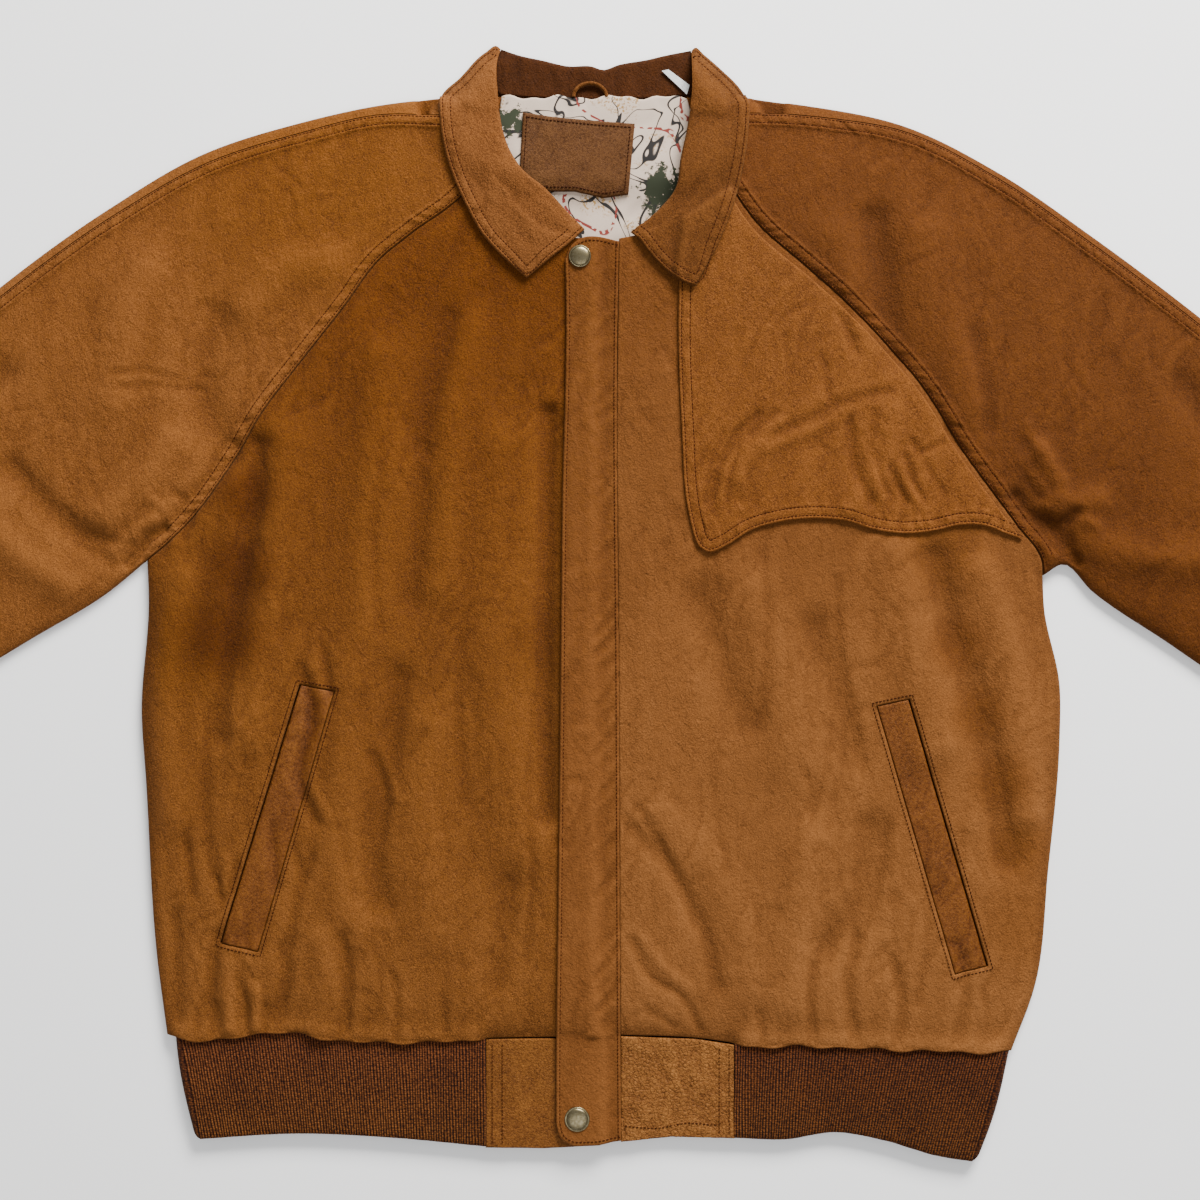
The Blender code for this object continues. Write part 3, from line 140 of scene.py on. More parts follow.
LEFT_RAGLAN = [(311, 17), (310, 27), (292, 52), (274, 76), (257, 99), (223, 152), (174, 206),
               (143, 234), (111, 262), (82, 302)]
RIGHT_BACK_RAGLAN = [(-318, 28), (-300, 52), (-265, 100), (-215, 165), (-160, 235), (-110, 300),
                     (-70, 353)]
LEFT_BACK_RAGLAN = [(311, 17), (297, 45), (263, 96), (213, 163), (158, 235), (106, 300), (66, 353)]
RIGHT_NECK = [(-7, 252), (-28, 254), (-49, 266), (-66, 286), (-80, 304)]
LEFT_NECK = [(14, 252), (31, 256), (50, 266), (66, 281), (82, 302)]
RIGHT_SLEEVE_NECK = [(-80, 304), (-85, 320), (-87, 336)]
LEFT_SLEEVE_NECK = [(82, 302), (85, 320), (86, 338)]
BACK_NECK = [(66, 353), (35, 351), (0, 350), (-35, 351), (-70, 353)]
RIGHT_CENTRE = -7.0
LEFT_CENTRE = 14.0
WAIST_Y = -306
RIGHT_FRONT_WAIST = RIGHT_WAIST[:-1] + [(RIGHT_CENTRE, WAIST_Y)]

# Knitted cuffs and waistband
CUFF_LENGTH = 70.0
CUFF_TOP_HALF = 50.0
CUFF_END_HALF = 46.0
RIB_PITCH = 2.05
RIB_HEIGHT = 0.7
RIB_SHAPE = (0.0, 0.45, 0.85, 1.0, 0.85, 0.45)[::1]
BACK_RIB_SHAPE = (0.0, 0.6, 1.0, 0.6)
BAND_RADIUS = 3.6
BAND_ROWS = 15
BACK_HEM_RISE = 2.5
RIGHT_CUFF_TOP = (-664, -125)
LEFT_CUFF_TOP = (664, -143)
CUFF_ANGLE = math.radians(53.2)
RIGHT_BAND_TOP = (-297, -306)
RIGHT_BAND_END = (-283.5, -378)
LEFT_BAND_TOP = (287, -317)
LEFT_BAND_END = (264, -394)
RIGHT_TAB_SEAM = -80.0
LEFT_TAB_SEAM = 94.0
RIGHT_BAND_HEM = [(-283.5, -378), (-211, -374), (-144, -377), (-80, -383)]
LEFT_BAND_HEM = [(95, -377), (130, -378), (165, -373), (196, -378), (238, -390), (264, -394)]

# Placket, tabs, pockets and flap
PLACKET_LEFT = [(-24.5, 236), (-24, 203), (-26.5, 70), (-28, -70), (-29.5, -210), (-31, -330),
                (-31, -366)]
PLACKET_FOOT = [(-31, -366), (-28, -376), (-20, -381.5), (-8, -382), (15, -379)]
PLACKET_RIGHT = [(15, -379), (14.5, -305), (13.5, -70), (12.5, 200), (13.5, 250)]
PLACKET_HEAD = [(13.5, 250), (-1, 253), (-12.5, 252), (-20.5, 246), (-24.5, 236)]
PLACKET_STEP_X = 5.0
RIGHT_TAB = [(-79.8, -308), (-79.8, -383.5), (-40, -384), (0, -382), (0, -307)]
LEFT_TAB = [(14.9, -306), (14.9, -379.5), (50, -376), (94, -377), (94, -312), (67, -308)]
RIGHT_POCKET = [(-210, -59), (-185, -63.5), (-239, -246), (-266, -240)]
LEFT_POCKET = [(193, -74), (216, -69), (271.5, -256), (248, -262)]
WELT_SLIT = 0.8
TAB_BOTTOM = 4.4
TAB_TOP = TAB_BOTTOM + WALL + SEAM_GAP
FLAP_LEFT = [(60, 264), (56, 240), (54.6, 210), (57, 114), (60, 69), (65, 45)]
FLAP_FOOT = [(65, 45), (69, 37), (76, 33), (87, 37), (105, 48), (125, 54), (152, 56.5), (170, 55),
             (190, 49), (212, 46), (234, 48), (252, 52), (268, 51.5), (283, 46), (295, 42)]
FLAP_RAGLAN = [(295, 42), (274, 70), (256, 94), (222, 147), (173, 201), (142, 229), (124, 243.5),
               (108.5, 257.5), (98, 271), (90, 284)]

# Collar
RIGHT_LEAF_OUTER = [(-69.5, 386), (-72, 389), (-80.5, 384.5), (-98, 367), (-112, 352), (-112, 342),
                    (-106, 305), (-94.5, 277), (-81, 253), (-67, 238), (-51, 224)]
RIGHT_LEAF_FRONT = [(-51, 224), (-34, 238), (-20, 249), (-10.5, 258)]
RIGHT_ROLL = [(-10.5, 258), (-22, 270), (-37, 286), (-54, 300), (-63, 314), (-68, 329), (-71, 353),
              (-71.5, 377), (-69.5, 386)]
LEFT_LEAF_OUTER = [(66.5, 218), (83, 249), (94, 278), (101, 308), (104, 335), (104, 349), (99, 358),
                   (85, 372.5), (73, 383), (66.5, 388), (64, 385)]
LEFT_LEAF_FRONT = [(21, 256), (27, 251), (33, 243), (45, 230), (60, 220), (66.5, 218)]
LEFT_ROLL = [(64, 385), (64, 377), (64, 356), (60, 326), (56, 308), (52.5, 287), (38.5, 270),
             (21, 256)]
STAND_TOP = [(-69.5, 387), (-58, 383), (-40, 379), (-22, 375), (-6, 375), (2, 372.5), (13, 376),
             (33, 379.5), (48, 383), (64, 386)]
STAND_FOOT = [(63.3, 354), (35, 352), (0, 351), (-35, 352), (-70.3, 354)]
RIGHT_STRIP_NECK = [(-28, 254), (-49, 266), (-66, 286), (-80, 304), (-85, 320), (-86, 336)]
RIGHT_STRIP_ROLL = [(-22, 270), (-37, 286), (-54, 300), (-63, 314), (-68, 329), (-69.5, 338)]
LEFT_STRIP_NECK = [(31, 256), (50, 266), (66, 281), (82, 302), (84.5, 320), (85, 337)]
LEFT_STRIP_ROLL = [(38.5, 270), (52.5, 287), (56, 308), (60, 326), (62, 338)]
FALL_EDGE = [(-110, 350), (-98, 320), (-60, 302), (0, 297), (60, 302), (92, 320), (103, 349)]
FALL_RIGHT = [(-69.5, 387), (-80, 382), (-97, 365), (-110, 350)]
FALL_LEFT = [(103, 349), (98, 356), (84, 370), (71, 381), (64, 386)]
STAND_BOTTOM = 2.5
STAND_LEVEL = 3.0
ON_STAND = STAND_LEVEL + STAND_WALL + SEAM_GAP
LEAF_GAP = 0.5
LEAF_LOWEST = 2.8
LEAF_OVER_STAND = 5.9
FALL_FRONT_Y = 296
COLLAR_SEAM_Y = 353

# Neck pieces
LINING = [(-70, 350), (0, 347), (62, 350), (74, 310), (60, 262), (30, 238), (-30, 238), (-62, 270),
          (-76, 310)]
PATCH = [(-54, 341.5), (-35, 338.5), (0, 335), (24.5, 333.5), (20, 284), (2, 281.6), (-18, 286),
         (-35, 286), (-57, 288)]
LOOP_CENTRE_X = -7.0
LOOP_HALF = 11.5
LOOP_HEIGHT = 9.5
LOOP_RADIUS = 1.35
CARE_LABEL = [(43, 371), (48, 372), (63, 361), (61, 354)]

# Snaps
TOP_SNAP = (-14, 239)
TOP_SNAP_RADIUS = 7.75
FOOT_SNAP = (-16, -363)
FOOT_SNAP_RADIUS = 8.75
SNAP_HEIGHT = 2.4

# Large soft folds of the front: points, half width and height, a trough where it is below 0
FOLDS = [
    ([(-90, 189), (-104, 120), (-106, 60), (-112, 10)], 15, 2.5),
    ([(-105, 195), (-121, 126), (-124, 70), (-132, 0)], 11, -2.5),
    ([(-150, 170), (-154, 90), (-160, 10), (-172, -40)], 17, 3.0),
    ([(-140, -56), (-148, -112), (-160, -168), (-154, -210)], 11, -3.5),
    ([(-176, -60), (-180, -120), (-182, -180), (-172, -230)], 14, 2.5),
    ([(-120, -90), (-124, -150), (-118, -230)], 15, 2.5),
    ([(-36, 130), (-37.5, 40), (-38.5, -63), (-38, -150)], 7.5, -4.4),
    ([(-66, 110), (-72, 10), (-68, -90), (-56, -170)], 17, 2.5),
    ([(-238, 108), (-243, 60), (-250, 10), (-258, -40), (-266, -95)], 9, -4.2),
    ([(-215, 110), (-230, 30), (-246, -30), (-250, -90)], 19, 3.5),
    ([(-292, 15), (-304, -50), (-300, -150)], 13, 3.0),
    ([(-63, -200), (-72, -266)], 11, -2.5),
    ([(-196, -236), (-192, -275), (-197, -303)], 9, 2.2),
    ([(234, 28), (248, -28), (262, -70), (276, -125), (284, -180)], 12, -4.0),
    ([(207, 30), (222, -40), (236, -100)], 17, 3.5),
    ([(268, 20), (286, -30), (298, -90), (300, -150)], 13, 3.5),
    ([(70, 0), (84, -42), (101, -84)], 14, -2.5),
    ([(108, 10), (126, -50), (138, -110)], 18, 2.5),
    ([(150, -20), (166, -62), (178, -110)], 13, -2.5),
    ([(24, -161), (56, -196), (73, -231), (82, -270)], 6, -1.6),
    ([(44, -150), (78, -185), (98, -225), (108, -270)], 14, 1.8),
    ([(188, -160), (182, -210), (160, -242)], 12, -3.0),
    ([(150, -170), (140, -230), (135, -280)], 15, 2.5),
    ([(94, 88), (133, 126), (175, 147)], 13, 1.4),
    ([(80, 66), (88, 100), (112, 128)], 7, -1.2),
    ([(176, 66), (198, 98), (204, 130)], 10, 2.5),
    ([(192, 265), (199, 217), (208, 170)], 12, -3.5),
    ([(165, 255), (172, 225)], 15, 2.5),
    ([(228, 255), (240, 200), (258, 140)], 18, 3.0),
    ([(290, 72), (299, 60), (318, 44)], 6, -4.0),
    ([(306, 100), (316, 76), (330, 66), (346, 70)], 11, 4.0),
    ([(332, 60), (322, 54), (327, 40), (330, 24)], 5, -5.0),
    ([(346, 40), (380, 30), (420, 28)], 14, 3.5),
    ([(-270, 195), (-278, 150), (-262, 108)], 15, -3.5),
    ([(-245, 205), (-222, 232), (-190, 236)], 15, 3.0),
    ([(-318, 230), (-334, 190), (-340, 140)], 17, 3.0),
    ([(-258, 104), (-276, 80), (-296, 56), (-312, 42)], 7, -4.5),
    ([(-300, 110), (-322, 80), (-345, 60)], 13, 3.5),
    ([(-330, 30), (-370, 50), (-410, 92)], 10, -3.5),
    ([(-372, 10), (-410, 36), (-440, 74)], 13, 3.5),
    ([(-420, 160), (-462, 120), (-480, 70)], 13, -3.5),
    ([(-470, 150), (-505, 95), (-515, 30)], 17, 4.0),
    ([(-545, 70), (-560, 10), (-552, -50)], 13, -3.5),
    ([(-590, 30), (-610, -30), (-602, -90)], 15, 3.5),
    ([(410, 150), (440, 104), (446, 46)], 13, -3.5),
    ([(455, 130), (486, 76), (490, 10)], 17, 4.0),
    ([(520, 80), (545, 20), (540, -50)], 13, -3.5),
    ([(575, 30), (600, -30), (596, -96)], 16, 4.0),
]

# Creases of the worn hide at places seen on the garment, given as the folds are
CREASES = [
    ([(-210, -42), (-202, -78), (-210, -128), (-198, -155)], 4, -1.6),
    ([(-200, -44), (-192, -80), (-200, -130), (-190, -152)], 4, 1.2),
    ([(-194, -30), (-188, -64)], 3.5, -1.1),
    ([(-161, -102), (-150, -140), (-152, -166)], 4.5, -1.3),
    ([(-153, -100), (-142, -138)], 4.5, 1.1),
    ([(-136, -114), (-122, -92)], 4, -1.0),
    ([(-290, -165), (-285, -206)], 3.5, -1.6),
    ([(-269, -192), (-264, -210)], 3, -1.8),
    ([(-252, -180), (-258, -204)], 3.5, -1.8),
    ([(-260, -176), (-264, -202)], 3, 1.4),
    ([(-230, -152), (-226, -200)], 4, -1.2),
    ([(-214, -168), (-208, -196)], 3.5, -1.0),
    ([(-182, -150), (-172, -205)], 5, -1.0),
    ([(77, 66), (83.5, 94), (97, 118), (110, 129)], 2.6, -1.5),
    ([(82, 64), (89, 92), (102, 112)], 2.8, 1.2),
    ([(88, 80), (97, 106), (122, 131)], 2.6, -1.2),
    ([(94, 78), (104, 102), (126, 124)], 3.0, 1.1),
    ([(72, 62), (77, 92), (86, 116)], 2.6, -0.9),
    ([(108, 112), (143, 125), (165, 137), (202, 146)], 3.4, -1.2),
    ([(112, 104), (145, 117), (170, 129)], 4.0, 1.0),
    ([(174, 130), (177, 94), (189, 68)], 3.4, -1.4),
    ([(184, 126), (187, 96), (197, 70)], 3.6, 1.1),
    ([(201, 96), (206, 82), (214, 68)], 2.6, -1.5),
    ([(213, 103), (218, 84), (227, 68)], 2.6, -1.5),
    ([(208, 98), (213, 82), (221, 68)], 2.6, 1.3),
    ([(217, 113), (222, 104), (239, 110)], 2.4, -1.4),
    ([(226, 100), (232, 86), (240, 74)], 2.8, -1.0),
    ([(192, 104), (196, 86), (204, 70)], 2.4, -0.9),
    ([(164, 202), (170, 192), (175, 180)], 2.8, -1.1),
    ([(150, 176), (158, 160), (160, 140)], 3.0, -0.7),
    ([(128, 190), (132, 160)], 3.4, -0.6),
    ([(-200, -175), (-212, -212), (-216, -241)], 4.5, -1.8),
    ([(-222, -236), (-219, -262), (-226, -292)], 6.0, -3.0),
    ([(-266, -228), (-272, -262), (-270, -300)], 4.5, -2.4),
    ([(-254, -266), (-248, -282), (-247, -300)], 3.0, -2.2),
    ([(-233, -280), (-235, -299)], 2.6, -2.2),
    ([(-258, -248), (-262, -275), (-259, -300)], 4.5, 2.0),
    ([(-240, -268), (-241, -300)], 3.4, 2.3),
    ([(-180, -228), (-176, -270), (-178, -303)], 5.0, -2.0),
    ([(-145, -258), (-141, -285), (-143, -304)], 3.4, -1.3),
    ([(-110, -275), (-107, -304)], 3.0, -0.9),
    ([(-300, -210), (-296, -250), (-298, -290)], 5.0, -1.6),
    ([(150, -250), (147, -282), (149, -308)], 4.2, -2.0),
    ([(181, -228), (174, -264), (178, -308)], 4.8, -2.0),
    ([(205, -250), (211, -280), (208, -310)], 4.5, -1.8),
    ([(252, -240), (256, -275), (250, -310)], 5.0, -1.5),
    ([(110, -284), (114, -308)], 3.0, -1.0),
    ([(240, 124), (246, 112), (254, 104)], 3, -1.0),
    ([(171, 204), (178, 174)], 4.5, -1.5),
    ([(258, 195), (264, 174), (270, 143), (272, 121)], 6, -1.8),
    ([(292, 115), (304, 93), (314, 78)], 5, -1.6),
    ([(300, 118), (313, 98), (322, 84)], 5, 1.5),
    ([(295, 88), (310, 69), (326, 62)], 4, -1.6),
    ([(24, -140), (40, -166), (54, -196), (66, -226)], 3.5, -1.2),
    ([(22, -235), (34, -262), (58, -278), (70, -300)], 3.0, -1.4),
    ([(28, -232), (42, -254), (62, -270)], 3.5, 0.9),
    ([(32, -285), (52, -298)], 3, -0.9),
    ([(-46, -60), (-50, -120), (-47, -190), (-52, -250)], 4, -1.0),
    ([(-96, -20), (-99, -80), (-94, -140)], 4.5, -0.9),
    ([(-150, 120), (-158, 40), (-154, -20)], 5, -0.9),
    ([(-236, 20), (-248, -40), (-250, -80)], 5, -1.2),
    ([(-272, -70), (-276, -140), (-270, -190)], 5, -1.2),
    ([(112, 40), (118, -30), (112, -90)], 5, -0.8),
    ([(166, 20), (170, -50), (180, -100)], 4.5, -0.8),
    ([(202, -150), (196, -200), (180, -250)], 5, -1.0),
    ([(226, -180), (230, -230), (222, -280)], 4.5, -0.9),
    ([(-343, 158), (-320, 160), (-296, 155)], 3, -0.9),
    ([(-340, 148), (-310, 150), (-280, 146)], 3, -0.8),
    ([(-300, 78), (-286, 62), (-290, 44)], 3.5, -1.5),
    ([(-316, 74), (-300, 56), (-298, 40)], 3.5, 1.2),
    ([(-322, 48), (-312, 38), (-318, 26)], 3, -1.8),
    ([(-62, 286), (-58, 262), (-50, 250)], 4, -1.2),
]

# The short deep fold at each underarm, and the ridge above it
UNDERARM_SLIT = {"left": [(313, 58), (320, 47), (326, 36), (334, 27)],
                 "right": [(-305, 50), (-314, 44), (-322, 34), (-330, 25)]}
UNDERARM_RIDGE = {"left": [(312, 66), (327, 60), (346, 52)],
                  "right": [(-312, 56), (-326, 46), (-340, 34)]}
SLIT_DEPTH = 4.5
SLIT_HALF = 2.6
RIDGE_HEIGHT = 2.2
RIDGE_HALF = 5.0

# Diagonal creases at the placket's sewn side: the height of each lower end, and its depth
PLACKET_CREASES = [(-294, 1.2), (-268, 1.0), (-212, 0.9), (-186, 0.5), (-146, 0.7), (-112, 0.8),
                   (-80, 0.5), (-44, 1.3), (-30, 0.8), (20, 0.6), (66, 0.7), (130, 0.5),
                   (178, 0.6)]

# Gathers over the knitted bands: places along the seam, then half width, length and height
GATHER_HALF = 5.0
GATHER_LENGTH = 34.0
GATHER_HEIGHT = 2.6
RIGHT_GATHERS = [-288, -273, -260, -246, -234, -219, -205, -190, -173, -158, -141, -122, -104]
LEFT_GATHERS = [108, 121, 133, 146, 160, 173, 189, 203, 218, 231, 246, 259, 273]
CUFF_GATHERS = [-42, -31, -20, -9, 3, 14, 25, 36]


def places_along(line):
    """How far along a line of points each of them is."""
    return np.concatenate([[0], np.cumsum(np.linalg.norm(np.diff(line, axis=0), axis=1))])


def sideways_of(line):
    """The direction to the left of a line at each of its points."""
    ahead = np.gradient(line, axis=0)
    ahead /= np.linalg.norm(ahead, axis=1)[:, None]
    return np.stack([-ahead[:, 1], ahead[:, 0]], axis=1)


def resample(points, step):
    """Points about step apart on a smooth curve through the given ones."""
    p = np.array(points, float)
    t = places_along(p)
    slope = np.diff(p, axis=0) / np.diff(t)[:, None]
    tangent = np.vstack([slope[:1], np.zeros((len(p) - 2, 2)), slope[-1:]])
    for i in range(1, len(p) - 1):
        before, after = t[i] - t[i - 1], t[i + 1] - t[i]
        tangent[i] = (slope[i] * before + slope[i - 1] * after) / (before + after)
    dense = []
    for i in range(len(p) - 1):
        span = t[i + 1] - t[i]
        for u in np.linspace(0, 1, 24, endpoint=False):
            dense.append((2 * u**3 - 3 * u**2 + 1) * p[i] + (u**3 - 2 * u**2 + u) * span * tangent[i]
                         + (3 * u**2 - 2 * u**3) * p[i + 1] + (u**3 - u**2) * span * tangent[i + 1])
    dense = np.array(dense + [p[-1]])
    along = places_along(dense)
    count = max(1, round(along[-1] / step))
    places = np.linspace(0, along[-1], count + 1)
    return np.stack([np.interp(places, along, dense[:, k]) for k in (0, 1)], axis=1)


def loop(*curves):
    """A closed outline, anticlockwise, from (points, step) curves laid end to end."""
    rows = []
    for points, step in curves:
        row = resample(points, step)
        if rows and np.linalg.norm(rows[-1][-1] - row[0]) > np.linalg.norm(rows[-1][-1] - row[-1]):
            row = row[::-1]
        rows.append(row)
    if np.linalg.norm(rows[0][0] - rows[1][0]) < np.linalg.norm(rows[0][-1] - rows[1][0]):
        rows[0] = rows[0][::-1]
    p = np.vstack(rows)
    keep = np.linalg.norm(p - np.roll(p, 1, axis=0), axis=1) > 0.5
    p = p[keep]
    return p if signed_area(p) > 0 else p[::-1]


def signed_area(p):
    """The area of a closed outline, above 0 where it runs anticlockwise."""
    q = np.roll(p, -1, axis=0)
    return 0.5 * np.sum(p[:, 0] * q[:, 1] - q[:, 0] * p[:, 1])


def inset(outline, distance):
    """An anticlockwise outline moved inwards, or outwards where distance is below 0."""
    before = outline - np.roll(outline, 1, axis=0)
    after = np.roll(outline, -1, axis=0) - outline
    normals = []
    for edge in (before, after):
        unit = edge / np.linalg.norm(edge, axis=1)[:, None]
        normals.append(np.stack([-unit[:, 1], unit[:, 0]], axis=1))
    mean = normals[0] + normals[1]
    mean /= np.maximum(np.linalg.norm(mean, axis=1), 1e-6)[:, None]
    stretch = 1 / np.maximum(np.sum(mean * normals[0], axis=1), 0.4)
    return outline + mean * (distance * stretch)[:, None]


def beside(line, towards, distance):
    """A line moved sideways, to the side that a given point lies on."""
    sideways = sideways_of(line)
    near = np.argmin(np.linalg.norm(line - np.array(towards), axis=1))
    sign = 1 if (np.array(towards) - line[near]) @ sideways[near] > 0 else -1
    return line + sideways * sign * distance


def corners_ring(corners, step):
    """A closed outline with straight sides through some corners."""
    corners = np.array(corners, float)
    ring = []
    for a, b in zip(corners, np.roll(corners, -1, axis=0)):
        count = max(1, round(np.linalg.norm(b - a) / step))
        ring += [a + (b - a) * i / count for i in range(count)]
    ring = np.array(ring)
    return ring if signed_area(ring) > 0 else ring[::-1]


def closed(ring):
    """A ring of points with its first point again at the end."""
    return np.vstack([ring, ring[:1]])


def measure(lines, x, y):
    """The distance from each point to some lines, and how far along it the nearest place is."""
    starts = np.vstack([line[:-1] for line in lines])
    ends = np.vstack([line[1:] for line in lines])
    lengths = np.linalg.norm(ends - starts, axis=1)
    runs = np.concatenate([[0], np.cumsum(lengths)[:-1]])
    parts = np.maximum(1, np.ceil(lengths / 3.0)).astype(int)
    owner = np.repeat(np.arange(len(starts)), parts)
    share = np.concatenate([(np.arange(n) + 0.5) / n for n in parts])
    samples = starts[owner] + (ends - starts)[owner] * share[:, None]
    tree = KDTree(len(samples))
    for i, (u, v) in enumerate(samples.tolist()):
        tree.insert((u, v, 0.0), i)
    tree.balance()
    p = np.column_stack([np.ravel(x), np.ravel(y)])
    find = tree.find
    found = owner[[find((u, v, 0.0))[1] for u, v in p.tolist()]] if len(p) else np.zeros(0, int)
    best, place = np.full(len(p), 1e9), np.zeros(len(p))
    for step in (-1, 0, 1):
        k = np.clip(found + step, 0, len(starts) - 1)
        d = ends[k] - starts[k]
        t = np.clip(np.sum((p - starts[k]) * d, axis=1) / np.maximum(lengths[k] ** 2, 1e-9), 0, 1)
        away = np.linalg.norm(p - starts[k] - t[:, None] * d, axis=1)
        closer = away < best
        best = np.where(closer, away, best)
        place = np.where(closer, runs[k] + t * lengths[k], place)
    return best.reshape(np.shape(x)), place.reshape(np.shape(x))


def distance_to(line, x, y):
    """The distance from each point to a line of points."""
    return measure([line], x, y)[0]


def nearest(lines, x, y):
    """The distance from each point to the nearest of some lines."""
    return measure(lines, x, y)[0]


def trace(line, x, y):
    """The distance from each point to a line, and how far along it the nearest place is."""
    return measure([line], x, y)


def inside(outline, x, y):
    """Whether each point lies in a closed outline."""
    result = np.zeros(np.shape(x), bool)
    for (ax, ay), (bx, by) in zip(outline, np.roll(outline, -1, axis=0)):
        crosses = (ay > y) != (by > y)
        at = ax + (y - ay) * (bx - ax) / (by - ay if by != ay else 1e-12)
        result ^= crosses & (x < at)
    return result


def outside(outline, x, y):
    """How far each point lies outside a closed outline, 0 where it lies inside."""
    return np.where(inside(outline, x, y), 0, distance_to(closed(outline), x, y))


def ease(t):
    """A smooth step from 0 to 1 as t goes from 0 to 1."""
    t = np.clip(t, 0, 1)
    return t * t * (3 - 2 * t)


def bell(away, half):
    """A smooth bump: 1 at no distance, about a third at half, and nothing far off."""
    return np.exp(-((away / half) ** 2))


def cuff_corner(centre, side, half, along):
    """A point of a cuff: half is measured across it towards the body, along towards its end."""
    across = np.array([-side * math.sin(CUFF_ANGLE), -math.cos(CUFF_ANGLE)])
    down = np.array([side * math.cos(CUFF_ANGLE), -math.sin(CUFF_ANGLE)])
    return np.array(centre, float) + across * half + down * along


# Lines and areas that the height functions measure from
EDGES = [resample(c, 8.0) for c in (RIGHT_SIDE, LEFT_SIDE, RIGHT_UNDERARM, LEFT_UNDERARM,
                                    RIGHT_SHOULDER, LEFT_SHOULDER)]
SEAMS = [resample(c, 10.0) for c in (RIGHT_RAGLAN, LEFT_RAGLAN)]
WAISTS = [resample(c, 12.0) for c in (RIGHT_WAIST, LEFT_WAIST)]
CUFF_SEAMS = [np.array([RIGHT_SHOULDER[0], RIGHT_UNDERARM[-1]], float),
              np.array([LEFT_SHOULDER[0], LEFT_UNDERARM[-1]], float)]
NECKLINE = resample(RIGHT_NECK + RIGHT_SLEEVE_NECK[1:], 8.0), resample(LEFT_NECK, 8.0)
FALL_OUTLINE = loop((FALL_RIGHT, 12), (FALL_EDGE, 20), (FALL_LEFT, 12), (STAND_TOP, 14))
CREASE_LINES = [(resample(points, 6.0), half, height) for points, half, height in CREASES]
FOLD_LINES = [(resample(points, 15.0), half, height) for points, half, height in FOLDS]
RAGLANS = {side: resample(line, 3.0) for side, line in
           (("right", RIGHT_RAGLAN), ("left", LEFT_RAGLAN))}
OVERARMS = {side: resample(line, 6.0) for side, line in
            (("right", RIGHT_OVERARM), ("left", LEFT_OVERARM))}
SLIT_LINES = {side: resample(line, 3.0) for side, line in UNDERARM_SLIT.items()}
RIDGE_LINES = {side: resample(line, 3.0) for side, line in UNDERARM_RIDGE.items()}
STAND_AREA = corners_ring(STAND_TOP[::-1] + [(-73.5, 378), (-73.5, 356), (66.5, 356), (66.5, 378)],
                          4.0)
LEAF_FOLDS = {"right": resample(RIGHT_LEAF_OUTER[1:6], 6),
              "left": resample(LEFT_LEAF_OUTER[5:10], 6)}
PANEL_AREA = {
    "right": loop((RIGHT_FRONT_WAIST, 12), (RIGHT_SIDE, 12),
                  (RIGHT_RAGLAN, 12), (RIGHT_NECK[::-1], 12),
                  ([(RIGHT_CENTRE, 252), (RIGHT_CENTRE, WAIST_Y)], 30)),
    "left": loop((LEFT_WAIST, 12), (LEFT_SIDE, 12), (LEFT_RAGLAN, 12), (LEFT_NECK[::-1], 12),
                 ([(LEFT_CENTRE, 252), (LEFT_CENTRE, -305)], 30)),
}


class Spots:
    """Points in plan. Each distance that several height functions need is measured once."""

    def __init__(self, x, y):
        self.x = np.asarray(x, float)
        self.y = np.asarray(y, float)
        self.known = {}

    def near(self, key, lines):
        return self.keep(key, lambda: nearest(lines, self.x, self.y))

    def keep(self, key, make):
        if key not in self.known:
            self.known[key] = make()
        return self.known[key]


def noise(u, v, seed):
    """Smooth noise from about -1 to 1, with lumps about 1 across."""
    angle = np.random.default_rng(seed).uniform(0, 2 * math.pi, (64, 64))
    i = np.floor(u).astype(int)
    j = np.floor(v).astype(int)
    fu, fv = u - i, v - j
    total = 0.0
    for di in (0, 1):
        for dj in (0, 1):
            turn = angle[(i + di) % 64, (j + dj) % 64]
            lean = np.cos(turn) * (fu - di) + np.sin(turn) * (fv - dj)
            weight_u = ease(fu) if di else 1 - ease(fu)
            weight_v = ease(fv) if dj else 1 - ease(fv)
            total = total + lean * weight_u * weight_v
    return 1.6 * total


def drawn_noise(x, y, degrees, length, width, seed):
    """Noise drawn out along a direction: ridges about width across and length long."""
    turn = math.radians(degrees)
    along = (x * math.cos(turn) + y * math.sin(turn)) / length
    across = (-x * math.sin(turn) + y * math.cos(turn)) / width
    bend = 0.7 * noise(along * 1.3, across * width / length, seed + 50)
    return noise(along, across + bend, seed)


def uneven(place):
    """A share from 0.1 to 1 that changes from gather to gather."""
    return 0.1 + 0.9 * (0.5 + 0.5 * math.sin(place * 2.39)) ** 2


def lift(s):
    """How far the collar's fall, folded under the back, carries the garment off the floor."""
    def make():
        return FALL_LIFT * (1 - ease(outside(FALL_OUTLINE, s.x, s.y) / FALL_REACH))
    return s.keep("lift", make)


def add_ridges(total, x, y, lines, fading=False):
    """Adds ridges along lines to heights. Fading ones grow from their first point on."""
    for line, half, height in lines:
        low, high = line.min(0) - 3 * half, line.max(0) + 3 * half
        close = (x > low[0]) & (x < high[0]) & (y > low[1]) & (y < high[1])
        if close.any():
            away, place = trace(line, x[close], y[close])
            share = ease((place + half) / (3 * half)) if fading else 1.0
            total[close] += height * share * bell(away, half)


